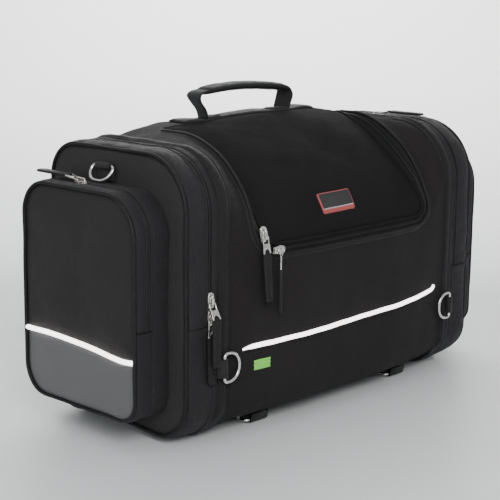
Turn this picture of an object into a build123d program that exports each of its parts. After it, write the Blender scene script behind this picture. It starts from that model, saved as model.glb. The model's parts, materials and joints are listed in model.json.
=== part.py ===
from build123d import *
import os
from math import sin, cos, radians

# Soft motorcycle tail bag: a long main body under a U-zipped lid, a shallow compartment
# at each end that tips outward, and a flat pocket on the outside of each compartment.
# Millimetres. X runs along the bag, -Y is the front with the lid's free edge, Z is up.
# The origin is on the ground under the middle of the bag.

os.makedirs("parts", exist_ok=True)

# ---------------------------------------------------------------- driving dimensions
# main body
BODY_HALF = 181.8        # half length of the main body between its two end seams
BODY_F, BODY_B = -110.5, 116.0
BODY_Z0, BODY_Z1 = 10.0, 316.0
BODY_R = (38.0, 38.0, 45.0, 115.0)      # bottom front, bottom back, top back, top front
SHOULDER_X, SHOULDER_R = 157.0, 66.0    # the big front edge tightens from here to the end seams
WALL = 4.0               # padded wall of the body
END_F, END_Z1 = -100.0, 302.0           # where the crowned body meets its end seams

# lid opening, seen from the front
LID_X0, LID_X1, LID_Z0 = -143.0, 143.0, 195.0
LID_R = 20.0
HINGE_Y, HINGE_Z = 33.0, 316.7

# end compartments
C_F, C_B, C_Z0, C_Z1 = -99.0, 114.0, 0.0, 301.0
C_R = (50.0, 42.0, 42.0, 60.0)
C_WALL = 3.5
C_FACE = 241.2           # outer face of the end panel
C_ZIP = 209.0            # middle of the compartment zip
SEAM_Z = 127.0           # seam where the compartment and pocket zips end

# end pockets
P_F, P_B, P_Z0, P_Z1 = -74.0, 105.0, 30.0, 264.0
P_R = (28.0, 35.0, 38.0, 45.0)
P_WALL = 3.5
P_FACE = 287.0
P_ZIP = 267.0
STRIP = [(105.0, 102.0), (43.0, 103.0), (-19.0, 99.5), (-57.0, 96.0), (-74.0, 98.0)]

# handle
HANDLE_Y = 60.0
STRAP_HALF = 104.0
WEB_W = 22.0             # handle webbing width
FOOT_X = 66.0
HANDLE_PIVOT_Z = 321.9

# rings
WIRE = 1.8               # radius of the ring wire
FR_X, FR_Y, FR_Z = 194.5, -106.6, 81.5          # front rings, bar upright
ER_X, ER_Y, ER_Z = 245.6, 19.0, 281.2           # end rings, bar along Y
ER_TILT = 32.0
UR_Y, UR_Z = -79.0, 4.6                         # rings under the front edge, bar along X
UR_XL, UR_XR = -116.0, 126.0
UR_TILT = 7.0

GAP = 0.3                # clearance between pieces that move past each other


# ---------------------------------------------------------------- shared outlines
def rounded(y0, y1, z0, z1, r, d=0.0, mode=Mode.ADD):
    """Rounded rectangle shrunk by d, corner radii bottom front, bottom back, top back, top front."""
    pts = [(y0 + d, z0 + d), (y1 - d, z0 + d), (y1 - d, z1 - d), (y0 + d, z1 - d)]
    with BuildLine() as edge:
        FilletPolyline(*pts, radius=[max(v - d, 0.6) for v in r], close=True)
    make_face(edge.line.edges(), mode=mode)


def c_outline(d=0.0, mode=Mode.ADD):
    rounded(C_F, C_B, C_Z0, C_Z1, C_R, d, mode)


def p_outline(d=0.0, mode=Mode.ADD):
    rounded(P_F, P_B, P_Z0, P_Z1, P_R, d, mode)


def keep_above(z, mode=Mode.INTERSECT):
    """Half plane above z, used to cut an outline at the zip ends."""
    with Locations((0, z + 300)):
        Rectangle(800, 600, mode=mode)


def keep_below(z, mode=Mode.INTERSECT):
    with Locations((0, z - 300)):
        Rectangle(800, 600, mode=mode)


def body_volume(d, half=BODY_HALF):
    """The crowned body, shrunk by d all round (grown if d is negative)."""
    with BuildPart() as v:
        with BuildSketch(Plane.YZ.offset(-SHOULDER_X)):
            rounded(BODY_F, BODY_B, BODY_Z0, BODY_Z1, BODY_R, d)
        extrude(amount=2 * SHOULDER_X)
        for s in (-1, 1):
            with BuildSketch(Plane.YZ.offset(s * SHOULDER_X)):
                rounded(BODY_F, BODY_B, BODY_Z0, BODY_Z1, BODY_R, d)
            with BuildSketch(Plane.YZ.offset(s * BODY_HALF)):
                rounded(BODY_F, BODY_B, BODY_Z0, BODY_Z1, BODY_R[:3] + (SHOULDER_R,), d)
            loft(ruled=True)
            if half > BODY_HALF:
                with BuildSketch(Plane.YZ.offset(s * BODY_HALF)):
                    rounded(BODY_F, BODY_B, BODY_Z0, BODY_Z1, BODY_R[:3] + (SHOULDER_R,), d)
                extrude(amount=s * (half - BODY_HALF))
        # the top falls away towards both end seams
        with BuildSketch(Plane.XZ.offset(160)):
            with BuildLine() as crown:
                FilletPolyline((-half, -20), (half, -20), (half, END_Z1 - d), (150, 308.5 - d), (60, BODY_Z1 - d),
                               (-60, BODY_Z1 - d), (-150, 308.5 - d), (-half, END_Z1 - d),
                               radius=[0, 0, 0, 90, 220, 220, 90, 0], close=True)
            make_face(crown.line.edges())
        extrude(amount=-320, mode=Mode.INTERSECT)
        # and so does the front
        with BuildSketch(Plane.XY.offset(-20)):
            with BuildLine() as bow:
                FilletPolyline((-half, 140), (-half, END_F + d), (-148, -108 + d), (-80, BODY_F + d),
                               (80, BODY_F + d), (148, -108 + d), (half, END_F + d), (half, 140),
                               radius=[0, 0, 90, 200, 200, 90, 0, 0], close=True)
            make_face(bow.line.edges())
        extrude(amount=380, mode=Mode.INTERSECT)
    return v.part


def lid_outline(d, mode=Mode.ADD):
    """The lid's edge in the front view, grown by d, open at the top."""
    r = LID_R + d
    pts = [(LID_X0 - d, LID_Z0 - d), (LID_X1 + d, LID_Z0 - d), (LID_X1 + d, 345), (LID_X0 - d, 345)]
    with BuildLine() as edge:
        FilletPolyline(*pts, radius=[r, r, 0.6, 0.6], close=True)
    make_face(edge.line.edges(), mode=mode)


def lid_ring(d0, d1, y1):
    """A band that follows the lid's edge between the offsets d0 and d1, up to y1."""
    with BuildPart() as v:
        with BuildSketch(Plane.XZ.offset(200)):
            lid_outline(d1)
            lid_outline(d0, Mode.SUBTRACT)
        extrude(amount=-(200 + y1))
    return v.part


# skins of the body at the depths where its pieces lie
skin_out2 = body_volume(-2.0)
skin_out15 = body_volume(-1.5)
skin_face = body_volume(0.0)
skin_face_low = body_volume(-0.15)
skin_08 = body_volume(0.8)
skin_30 = body_volume(3.0, BODY_HALF + 6)
skin_32 = body_volume(3.2, BODY_HALF + 6)
skin_in = body_volume(WALL, BODY_HALF + 6)
skin_divider = body_volume(WALL + 0.3, BODY_HALF + 0.01)

# ================================================================ main body
with BuildPart() as main_body_shell:
    add(skin_face)
    add(skin_in, mode=Mode.SUBTRACT)
    with BuildSketch(Plane.XZ.offset(200)):
        lid_outline(8.7)
    extrude(amount=-(200 + HINGE_Y + GAP), mode=Mode.SUBTRACT)
main_body_shell.part.label = "main_body_shell"
export_step(main_body_shell.part, "parts/main_body_shell.step")

# stiff board lying on the floor of the main compartment
with BuildPart() as base_board:
    with BuildSketch(Plane.XY.offset(BODY_Z0 + WALL + 0.2)):
        with Locations((0, 2.5)):
            RectangleRounded(354, 148, 8)
    extrude(amount=3)
base_board.part.label = "base_board"
export_step(base_board.part, "parts/base_board.step")

# stiffened walls between the main compartment and the two end compartments
with BuildPart() as end_dividers:
    with BuildSketch(Plane.YZ.offset(-BODY_HALF + 0.2)):
        rounded(C_F, C_B, C_Z0 + 9, C_Z1, (50, 42, 42, 60), 4.6)
    extrude(amount=3)
    mirror(about=Plane.YZ)
    add(skin_divider, mode=Mode.INTERSECT)
end_dividers.part.label = "end_dividers"
export_step(end_dividers.part, "parts/end_dividers.step")

# fixed half of each end compartment's gusset, from the body seam to the zip
with BuildPart() as end_gussets:
    with BuildSketch(Plane.YZ.offset(-205.8)):
        c_outline(0)
        c_outline(C_WALL, Mode.SUBTRACT)
    extrude(amount=23.8)
    mirror(about=Plane.YZ)
end_gussets.part.label = "end_gussets"
export_step(end_gussets.part, "parts/end_gussets.step")

# padded band sewn round each gusset beside the body seam
with BuildPart() as body_welts:
    with BuildSketch(Plane.YZ.offset(-198)):
        c_outline(-3)
        c_outline(-0.15, Mode.SUBTRACT)
        keep_above(14)
    extrude(amount=14.5)
    mirror(about=Plane.YZ)
body_welts.part.label = "body_welts"
export_step(body_welts.part, "parts/body_welts.step")

# lower gusset of each end compartment: plain fabric with no zip, which folds as the compartment tips
with BuildPart() as left_gusset_lower:
    with BuildSketch(Plane.YZ.offset(-236.5)):
        c_outline(0.3)
        c_outline(3.0, Mode.SUBTRACT)
        keep_below(SEAM_Z - GAP)
    extrude(amount=236.5 - 206.1)
left_gusset_lower.part.label = "left_gusset_lower"
export_step(left_gusset_lower.part, "parts/left_gusset_lower.step")

with BuildPart() as right_gusset_lower:
    mirror(left_gusset_lower.part, about=Plane.YZ)
right_gusset_lower.part.label = "right_gusset_lower"
export_step(right_gusset_lower.part, "parts/right_gusset_lower.step")

# halves of the three zips that stay on the body: round the lid opening and round each end gusset
with BuildPart() as body_zip_tapes:
    add(skin_08)
    add(skin_32, mode=Mode.SUBTRACT)
    add(lid_ring(0.15, 4.8, HINGE_Y - 0.3), mode=Mode.INTERSECT)
    with BuildSketch(Plane.YZ.offset(-208.85)):
        c_outline(0.5)
        c_outline(3.0, Mode.SUBTRACT)
        keep_above(SEAM_Z + GAP)
    extrude(amount=208.85 - 205.95)
    with BuildSketch(Plane.YZ.offset(205.95)):
        c_outline(0.5)
        c_outline(3.0, Mode.SUBTRACT)
        keep_above(SEAM_Z + GAP)
    extrude(amount=208.85 - 205.95)
body_zip_tapes.part.label = "body_zip_tapes"
export_step(body_zip_tapes.part, "parts/body_zip_tapes.step")

# stiff piping that frames the lid opening
with BuildPart() as lid_frame_piping:
    add(skin_out15)
    add(skin_30, mode=Mode.SUBTRACT)
    add(lid_ring(5.0, 8.5, HINGE_Y - 0.3), mode=Mode.INTERSECT)
lid_frame_piping.part.label = "lid_frame_piping"
export_step(lid_frame_piping.part, "parts/lid_frame_piping.step")

# reflective piping across the front below the lid
with BuildPart() as front_reflective_piping:
    add(skin_out2)
    add(skin_face_low, mode=Mode.SUBTRACT)
    with BuildSketch(Plane.XZ.offset(200)):
        with BuildLine():
            Polyline((-159, 93.2), (-60, 94.6), (60, 99.2), (126, 104.4), (166, 107.4), (168, 111),
                     (164, 111.4), (125, 108.0), (60, 102.8), (-60, 98.2), (-159, 96.8), close=True)
        make_face()
    extrude(amount=-200, mode=Mode.INTERSECT)
front_reflective_piping.part.label = "front_reflective_piping"
export_step(front_reflective_piping.part, "parts/front_reflective_piping.step")

# webbing strap sewn along the top, which carries the handle's feet
with BuildPart() as handle_strap:
    add(skin_out2)
    add(skin_face_low, mode=Mode.SUBTRACT)
    with BuildSketch(Plane.XY.offset(290)):
        with Locations((6, HANDLE_Y)):
            Rectangle(2 * STRAP_HALF, 25)
    extrude(amount=60, mode=Mode.INTERSECT)
handle_strap.part.label = "handle_strap"
export_step(handle_strap.part, "parts/handle_strap.step")

# webbing loops that hold the two front rings at the end seams
with BuildPart() as ring_loops:
    with BuildSketch(Plane.XY.offset(FR_Z - 10)):
        with Locations((-FR_X, FR_Y)):
            Circle(3.6)
            Circle(2.1, mode=Mode.SUBTRACT)
        with BuildLine():
            Polyline((-201.6, -99.3), (-201.6, -104.2), (-194.6, -104.2), (-194.6, -102.3), (-198.4, -102.3),
                     (-198.4, -99.3), close=True)
        make_face()
    extrude(amount=20)
    mirror(about=Plane.YZ)
ring_loops.part.label = "ring_loops"
export_step(ring_loops.part, "parts/ring_loops.step")

# webbing loops under the front edge
with BuildPart() as underside_loops:
    for x in (UR_XL, UR_XR):
        with BuildSketch(Plane.YZ.offset(x - 13)):
            with Locations((UR_Y, UR_Z)):
                Circle(3.9)
                Circle(2.1, mode=Mode.SUBTRACT)
            with Locations((UR_Y, 9.05)):
                Rectangle(2.4, 2.3)
        extrude(amount=26)
underside_loops.part.label = "underside_loops"
export_step(underside_loops.part, "parts/underside_loops.step")

# ================================================================ lid
with BuildPart() as lid_panel:
    add(skin_face)
    add(skin_in, mode=Mode.SUBTRACT)
    with BuildSketch(Plane.XZ.offset(200)):
        lid_outline(-5.0)
    extrude(amount=-(200 + HINGE_Y - GAP), mode=Mode.INTERSECT)
lid_panel.part.label = "lid_panel"
export_step(lid_panel.part, "parts/lid_panel.step")

# the lid's half of its zip
with BuildPart() as lid_zip_tape:
    add(skin_08)
    add(skin_32, mode=Mode.SUBTRACT)
    add(lid_ring(-4.8, -0.15, HINGE_Y - 0.3), mode=Mode.INTERSECT)
lid_zip_tape.part.label = "lid_zip_tape"
export_step(lid_zip_tape.part, "parts/lid_zip_tape.step")

# plain badge sewn to the lid
with BuildPart() as lid_patch:
    add(skin_out15)
    add(skin_face_low, mode=Mode.SUBTRACT)
    with BuildSketch(Plane.XZ.offset(200)):
        with Locations((-13, 231)):
            Rectangle(56, 25)
    extrude(amount=-200, mode=Mode.INTERSECT)
lid_patch.part.label = "lid_patch"
export_step(lid_patch.part, "parts/lid_patch.step")

# ================================================================ left end compartment door
# stiffened end panel
with BuildPart() as left_end_panel:
    with BuildSketch(Plane.YZ.offset(-C_FACE)):
        c_outline(4.8)
    extrude(amount=3.5)
left_end_panel.part.label = "left_end_panel"
export_step(left_end_panel.part, "parts/left_end_panel.step")

# piping round the end panel, and the lower part of the pocket's piping
with BuildPart() as left_end_piping:
    with BuildLine(Plane.YZ.offset(-239)) as rim:
        FilletPolyline((C_F + 2.4, C_Z0 + 2.4), (C_B - 2.4, C_Z0 + 2.4), (C_B - 2.4, C_Z1 - 2.4), (C_F + 2.4, C_Z1 - 2.4),
                       radius=[r - 2.4 for r in C_R], close=True)
    with BuildSketch(Plane(origin=rim.line @ 0, z_dir=rim.line % 0)):
        Circle(2.2)
    sweep(path=rim.line)

with BuildPart() as pocket_rim:
    with BuildLine(Plane.YZ.offset(-285.4)) as p_rim:
        FilletPolyline((P_F + 1.6, P_Z0 + 1.6), (P_B - 1.6, P_Z0 + 1.6), (P_B - 1.6, P_Z1 - 1.6), (P_F + 1.6, P_Z1 - 1.6),
                       radius=[r - 1.6 for r in P_R], close=True)
    with BuildSketch(Plane(origin=p_rim.line @ 0, z_dir=p_rim.line % 0)):
        Circle(1.6)
    sweep(path=p_rim.line)

with BuildPart() as pocket_rim_low:
    add(pocket_rim.part)
    split(bisect_by=Plane.XY.offset(SEAM_Z - GAP), keep=Keep.BOTTOM)

with BuildPart() as left_flap_piping:
    add(pocket_rim.part)
    split(bisect_by=Plane.XY.offset(SEAM_Z + GAP), keep=Keep.TOP)
left_flap_piping.part.label = "left_flap_piping"
export_step(left_flap_piping.part, "parts/left_flap_piping.step")

with left_end_piping:
    add(pocket_rim_low.part)
left_end_piping.part.label = "left_end_piping"
export_step(left_end_piping.part, "parts/left_end_piping.step")

# the moving half of the compartment's gusset
with BuildPart() as left_gusset_outer:
    with BuildSketch(Plane.YZ.offset(-236.6)):
        c_outline(0)
        c_outline(C_WALL, Mode.SUBTRACT)
        keep_above(SEAM_Z + GAP)
    extrude(amount=236.6 - 212.4)
left_gusset_outer.part.label = "left_gusset_outer"
export_step(left_gusset_outer.part, "parts/left_gusset_outer.step")

# zip halves carried by the door: the compartment's outer half and the pocket's inner half
with BuildPart() as left_door_zip_tapes:
    with BuildSketch(Plane.YZ.offset(-212.25)):
        c_outline(0.5)
        c_outline(3.0, Mode.SUBTRACT)
        keep_above(SEAM_Z + GAP)
    extrude(amount=212.25 - 209.15)
    with BuildSketch(Plane.YZ.offset(-266.85)):
        p_outline(0.5)
        p_outline(3.0, Mode.SUBTRACT)
        keep_above(SEAM_Z + GAP)
    extrude(amount=266.85 - 264.55)
left_door_zip_tapes.part.label = "left_door_zip_tapes"
export_step(left_door_zip_tapes.part, "parts/left_door_zip_tapes.step")

# pocket walls: full depth below the seam, and only to the zip above it
with BuildPart() as left_pocket_walls:
    with BuildSketch(Plane.YZ.offset(-264.4)):
        p_outline(0)
        p_outline(P_WALL, Mode.SUBTRACT)
    extrude(amount=264.4 - 241.4)
    with BuildSketch(Plane.YZ.offset(-283.6)):
        p_outline(0)
        p_outline(P_WALL, Mode.SUBTRACT)
        keep_below(SEAM_Z - GAP)
    extrude(amount=283.6 - 264.3)
    with BuildSketch(Plane.YZ.offset(-P_FACE)):
        p_outline(3.4)
        keep_below(SEAM_Z - GAP)
        with BuildLine():
            Polyline(*[(y * 1.4 if abs(y) > 70 else y, z + 2.7) for y, z in STRIP], (-200, 98), (-200, 0), (200, 0),
                     (200, 104.2), close=True)
        make_face(mode=Mode.SUBTRACT)
    extrude(amount=4)
left_pocket_walls.part.label = "left_pocket_walls"
export_step(left_pocket_walls.part, "parts/left_pocket_walls.step")

# smooth lower facing of the pocket, below the reflective piping
with BuildPart() as left_pocket_facing:
    with BuildSketch(Plane.YZ.offset(-P_FACE)):
        p_outline(3.7)
        with BuildLine():
            Polyline(*[(y * 1.4 if abs(y) > 70 else y, z - 2.7) for y, z in STRIP], (-200, 96), (-200, 0), (200, 0),
                     (200, 99.8), close=True)
        make_face(mode=Mode.INTERSECT)
    extrude(amount=3.2)
left_pocket_facing.part.label = "left_pocket_facing"
export_step(left_pocket_facing.part, "parts/left_pocket_facing.step")

# reflective piping across the pocket
with BuildPart() as left_pocket_reflective:
    with BuildLine(Plane.YZ.offset(-286.0)) as strip_line:
        FilletPolyline((100.6, 102.1), (43, 103.0), (-19, 99.5), (-57, 96.0), (-69.8, 97.3), radius=[60, 80, 40])
    with BuildSketch(Plane(origin=strip_line.line @ 0, z_dir=strip_line.line % 0)):
        Circle(2.0)
    sweep(path=strip_line.line)
left_pocket_reflective.part.label = "left_pocket_reflective"
export_step(left_pocket_reflective.part, "parts/left_pocket_reflective.step")

# webbing loop that holds the end ring
with BuildPart() as left_ring_loop:
    with BuildSketch(Plane.XZ.offset(-(ER_Y + 10))):
        with Locations((-ER_X, ER_Z)):
            Circle(3.6)
            Circle(2.1, mode=Mode.SUBTRACT)
        with Locations((-242.4, 273)):
            Rectangle(1.9, 14)
        with Locations((-ER_X, ER_Z)):
            Circle(2.1, mode=Mode.SUBTRACT)
    extrude(amount=20)
left_ring_loop.part.label = "left_ring_loop"
export_step(left_ring_loop.part, "parts/left_ring_loop.step")

# ================================================================ left pocket flap
with BuildPart() as left_pocket_flap:
    with BuildSketch(Plane.YZ.offset(-P_FACE)):
        p_outline(3.4)
        keep_above(SEAM_Z + GAP)
    extrude(amount=4)
    with BuildSketch(Plane.YZ.offset(-283.6)):
        p_outline(0)
        p_outline(P_WALL, Mode.SUBTRACT)
        keep_above(SEAM_Z + GAP)
    extrude(amount=283.6 - 269.6)
left_pocket_flap.part.label = "left_pocket_flap"
export_step(left_pocket_flap.part, "parts/left_pocket_flap.step")

with BuildPart() as left_flap_zip_tape:
    with BuildSketch(Plane.YZ.offset(-269.45)):
        p_outline(0.5)
        p_outline(3.0, Mode.SUBTRACT)
        keep_above(SEAM_Z + GAP)
    extrude(amount=269.45 - 267.15)
left_flap_zip_tape.part.label = "left_flap_zip_tape"
export_step(left_flap_zip_tape.part, "parts/left_flap_zip_tape.step")

# ================================================================ right end, the mirror image of the left
with BuildPart() as right_end_panel:
    mirror(left_end_panel.part, about=Plane.YZ)
right_end_panel.part.label = "right_end_panel"
export_step(right_end_panel.part, "parts/right_end_panel.step")

with BuildPart() as right_end_piping:
    mirror(left_end_piping.part, about=Plane.YZ)
right_end_piping.part.label = "right_end_piping"
export_step(right_end_piping.part, "parts/right_end_piping.step")

with BuildPart() as right_gusset_outer:
    mirror(left_gusset_outer.part, about=Plane.YZ)
right_gusset_outer.part.label = "right_gusset_outer"
export_step(right_gusset_outer.part, "parts/right_gusset_outer.step")

with BuildPart() as right_door_zip_tapes:
    mirror(left_door_zip_tapes.part, about=Plane.YZ)
right_door_zip_tapes.part.label = "right_door_zip_tapes"
export_step(right_door_zip_tapes.part, "parts/right_door_zip_tapes.step")

with BuildPart() as right_pocket_walls:
    mirror(left_pocket_walls.part, about=Plane.YZ)
right_pocket_walls.part.label = "right_pocket_walls"
export_step(right_pocket_walls.part, "parts/right_pocket_walls.step")

with BuildPart() as right_pocket_facing:
    mirror(left_pocket_facing.part, about=Plane.YZ)
right_pocket_facing.part.label = "right_pocket_facing"
export_step(right_pocket_facing.part, "parts/right_pocket_facing.step")

with BuildPart() as right_pocket_reflective:
    mirror(left_pocket_reflective.part, about=Plane.YZ)
right_pocket_reflective.part.label = "right_pocket_reflective"
export_step(right_pocket_reflective.part, "parts/right_pocket_reflective.step")

with BuildPart() as right_ring_loop:
    mirror(left_ring_loop.part, about=Plane.YZ)
right_ring_loop.part.label = "right_ring_loop"
export_step(right_ring_loop.part, "parts/right_ring_loop.step")

with BuildPart() as right_pocket_flap:
    mirror(left_pocket_flap.part, about=Plane.YZ)
right_pocket_flap.part.label = "right_pocket_flap"
export_step(right_pocket_flap.part, "parts/right_pocket_flap.step")

with BuildPart() as right_flap_piping:
    mirror(left_flap_piping.part, about=Plane.YZ)
right_flap_piping.part.label = "right_flap_piping"
export_step(right_flap_piping.part, "parts/right_flap_piping.step")

with BuildPart() as right_flap_zip_tape:
    mirror(left_flap_zip_tape.part, about=Plane.YZ)
right_flap_zip_tape.part.label = "right_flap_zip_tape"
export_step(right_flap_zip_tape.part, "parts/right_flap_zip_tape.step")

# ================================================================ handle
# webbing: two feet rounded about the fold, leaning outward, joined by a run under the grip
with BuildPart() as handle_webbing:
    with BuildSketch(Plane.XZ.offset(-(HANDLE_Y + 16))):
        with BuildLine() as web:
            FilletPolyline((-FOOT_X, 317.7), (-80, 337), (-72, 346.4), (72, 346.4), (80, 337), (FOOT_X, 317.7),
                           radius=[7, 7, 7, 7])
        trace(line_width=2.4)
    extrude(amount=32)
    with BuildSketch(Plane.YZ.offset(-100)):
        with Locations((HANDLE_Y, HANDLE_PIVOT_Z)):
            Circle(4)
        with BuildLine():
            Polyline((HANDLE_Y - 3.9, HANDLE_PIVOT_Z + 0.9), (HANDLE_Y + 3.9, HANDLE_PIVOT_Z + 0.9),
                     (HANDLE_Y + WEB_W / 2, HANDLE_PIVOT_Z + 13), (HANDLE_Y + WEB_W / 2, 380),
                     (HANDLE_Y - WEB_W / 2, 380), (HANDLE_Y - WEB_W / 2, HANDLE_PIVOT_Z + 13), close=True)
        make_face()
    extrude(amount=200, mode=Mode.INTERSECT)
handle_webbing.part.label = "handle_webbing"
export_step(handle_webbing.part, "parts/handle_webbing.step")

# padded grip sewn round the top run of the webbing
with BuildPart() as handle_grip:
    with BuildSketch(Plane.YZ.offset(-62)):
        with Locations((HANDLE_Y, 348.2)):
            RectangleRounded(27, 9.4, 4)
        with Locations((HANDLE_Y, 346.4)):
            Rectangle(WEB_W + 0.6, 2.8, mode=Mode.SUBTRACT)
    extrude(amount=124)
handle_grip.part.label = "handle_grip"
export_step(handle_grip.part, "parts/handle_grip.step")


# ================================================================ rings
def d_ring(plane, width, depth):
    """D-shaped wire ring: its straight bar is on the plane's x axis, the bow reaches depth along y."""
    w = width / 2 - WIRE
    r = min(w - 0.8, depth - WIRE - 4.5)
    with BuildPart() as ring:
        with BuildLine(plane) as wire:
            FilletPolyline((0, 0), (w, 0), (w, depth - WIRE), (-w, depth - WIRE), (-w, 0),
                           radius=[0, 4, r, r, 4], close=True)
        with BuildSketch(Plane(origin=wire.line @ 0, z_dir=wire.line % 0)):
            Circle(WIRE)
        sweep(path=wire.line)
    return ring.part


with BuildPart() as front_left_ring:
    add(d_ring(Plane(origin=(-FR_X, FR_Y, FR_Z), x_dir=(0, 0, 1), z_dir=(0, 1, 0)), 34, 23))
front_left_ring.part.label = "front_left_ring"
export_step(front_left_ring.part, "parts/front_left_ring.step")

with BuildPart() as front_right_ring:
    mirror(front_left_ring.part, about=Plane.YZ)
front_right_ring.part.label = "front_right_ring"
export_step(front_right_ring.part, "parts/front_right_ring.step")

with BuildPart() as left_end_ring:
    add(d_ring(Plane(origin=(-ER_X, ER_Y, ER_Z), x_dir=(0, 1, 0),
                     z_dir=(-cos(radians(ER_TILT)), 0, sin(radians(ER_TILT)))), 36, 19))
left_end_ring.part.label = "left_end_ring"
export_step(left_end_ring.part, "parts/left_end_ring.step")

with BuildPart() as right_end_ring:
    mirror(left_end_ring.part, about=Plane.YZ)
right_end_ring.part.label = "right_end_ring"
export_step(right_end_ring.part, "parts/right_end_ring.step")

with BuildPart() as underside_left_ring:
    add(d_ring(Plane(origin=(UR_XL, UR_Y, UR_Z), x_dir=(1, 0, 0),
                     z_dir=(0, sin(radians(UR_TILT)), cos(radians(UR_TILT)))), 38, 23))
underside_left_ring.part.label = "underside_left_ring"
export_step(underside_left_ring.part, "parts/underside_left_ring.step")

with BuildPart() as underside_right_ring:
    add(d_ring(Plane(origin=(UR_XR, UR_Y, UR_Z), x_dir=(1, 0, 0),
                     z_dir=(0, sin(radians(UR_TILT)), cos(radians(UR_TILT)))), 38, 23))
underside_right_ring.part.label = "underside_right_ring"
export_step(underside_right_ring.part, "parts/underside_right_ring.step")


# ================================================================ zip sliders and pulls
# Slider axes: the plane's x is across the zip, its y is along the zip away from the hanging pull,
# and its z points out of the fabric. The plane's origin lies on the zip under the slider's middle.
def along(plane, x, y, z):
    return plane.from_local_coords(Vector(x, y, z))


def zip_slider(plane):
    with BuildPart() as v:
        with BuildSketch(plane.offset(0.3)):
            with BuildLine():
                Polyline((-4.6, 2), (-3.2, 8), (3.2, 8), (4.6, 2), (3.6, -8), (-3.6, -8), close=True)
            make_face()
        extrude(amount=2.2)
        # arch that the pull hangs from
        with BuildSketch(Plane(origin=along(plane, -1.1, 0, 0), x_dir=plane.y_dir, z_dir=plane.x_dir)):
            with BuildLine():
                Polyline((-5.5, 2.4), (-5.5, 5.0), (-4.6, 6.0), (4.4, 6.0), (6.4, 4.4), (6.4, 2.4), (4.8, 2.4), (4.8, 3.8),
                         (3.8, 4.7), (-3.6, 4.7), (-4.1, 4.2), (-4.1, 2.4), close=True)
            make_face()
        extrude(amount=2.2)
    return v.part


PIVOT_V, PIVOT_N, PIN = -2.6, 3.6, 0.75      # where the pull's cross bar sits in the arch


def zip_pull(plane, lift=0.0, hang=None):
    """Metal link with two horns, and the leather tab it holds. lift tips the link outward, in degrees; the tab hangs
    from its end along hang, or along the zip."""
    hang = -plane.y_dir if hang is None else Vector(*hang)
    px = along(plane, 0, PIVOT_V, PIVOT_N)
    link_dir = (-plane.y_dir * cos(radians(lift)) + plane.z_dir * sin(radians(lift)))
    link_n = (plane.z_dir * cos(radians(lift)) + plane.y_dir * sin(radians(lift)))
    link = Plane(origin=px, x_dir=-plane.x_dir, z_dir=link_n)      # its y axis runs down the link
    if (link.y_dir - link_dir).length > 0.01:
        link = Plane(origin=px, x_dir=plane.x_dir, z_dir=link_n)
    tab_top = px + link.y_dir * 17.6
    tab = Plane(origin=tab_top, x_dir=link.x_dir, z_dir=link.x_dir.cross(hang))
    with BuildPart() as v:
        with BuildSketch(Plane(origin=along(link, -4.6, 0, 0), x_dir=link.y_dir, z_dir=link.x_dir)):
            Circle(PIN)
        extrude(amount=9.2)
        with BuildSketch(link.offset(-0.7)):
            for s in (-1, 1):
                with Locations((s * 3.9, 3.5)):
                    Rectangle(1.4, 8.0)
            with BuildLine():
                Polyline((-4.6, 6.6), (4.6, 6.6), (5.6, 17.0), (3.6, 17.3), (2.6, 13.8), (-2.6, 13.8), (-3.6, 17.3),
                         (-5.6, 17.0), close=True)
            make_face()
        extrude(amount=1.4)
    with BuildPart() as leather:
        with BuildSketch(tab.offset(-1.1)):
            with BuildLine():
                Polyline((-5.8, 0.2), (-3.3, 0.2), (-2.3, -3.4), (2.3, -3.4), (3.3, 0.2), (5.8, 0.2), (5.2, 46), (4.0, 49.5),
                         (-4.0, 49.5), (-5.2, 46), close=True)
            make_face()
        extrude(amount=2.2)
    return v.part, leather.part


def front_plane(x, y, z, tip=0.0):
    """A slider on the front of the bag; tip turns its face upward, in degrees."""
    t = radians(tip)
    return Plane(origin=(x, y, z), x_dir=(1, 0, 0), z_dir=(0, -cos(t), sin(t)))


LB_T = 6.5
LID_B = front_plane(LID_X0, -108.9, 214, LB_T)
LEFT_A = front_plane(-C_ZIP, C_F, 154)
LEFT_B = front_plane(-C_ZIP, C_F, 136)
RIGHT_A = Plane(origin=(C_ZIP, 25, C_Z1), x_dir=(1, 0, 0), z_dir=(0, 0, 1))
LEFT_P = Plane(origin=(-P_ZIP, 29, P_Z1), x_dir=(-1, 0, 0), z_dir=(0, 0, 1))
RIGHT_P = Plane(origin=(P_ZIP, 29, P_Z1), x_dir=(-1, 0, 0), z_dir=(0, 0, 1))

with BuildPart() as lid_slider_b:
    add(zip_slider(LID_B))
lid_slider_b.part.label = "lid_slider_b"
export_step(lid_slider_b.part, "parts/lid_slider_b.step")

# its tab hangs straight down although the slider leans with the body
with BuildPart() as lid_pull_b:
    add(zip_pull(LID_B, 2, (0, -0.08, -1))[0])
    add(zip_pull(LID_B, 2, (0, -0.08, -1))[1])
lid_pull_b.part.label = "lid_pull_b"
export_step(lid_pull_b.part, "parts/lid_pull_b.step")

# the lower slider runs along the lid's bottom edge; its pull hangs edge-on from a round link
LID_A_X, LID_A_Y, LID_A_Z = -121.0, BODY_F, LID_Z0 + 0.3
LID_A = Plane(origin=(LID_A_X, LID_A_Y, LID_A_Z), x_dir=(0, 0, -1), z_dir=(0, -1, 0))
with BuildPart() as lid_slider_a:
    add(zip_slider(LID_A))
lid_slider_a.part.label = "lid_slider_a"
export_step(lid_slider_a.part, "parts/lid_slider_a.step")

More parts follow.
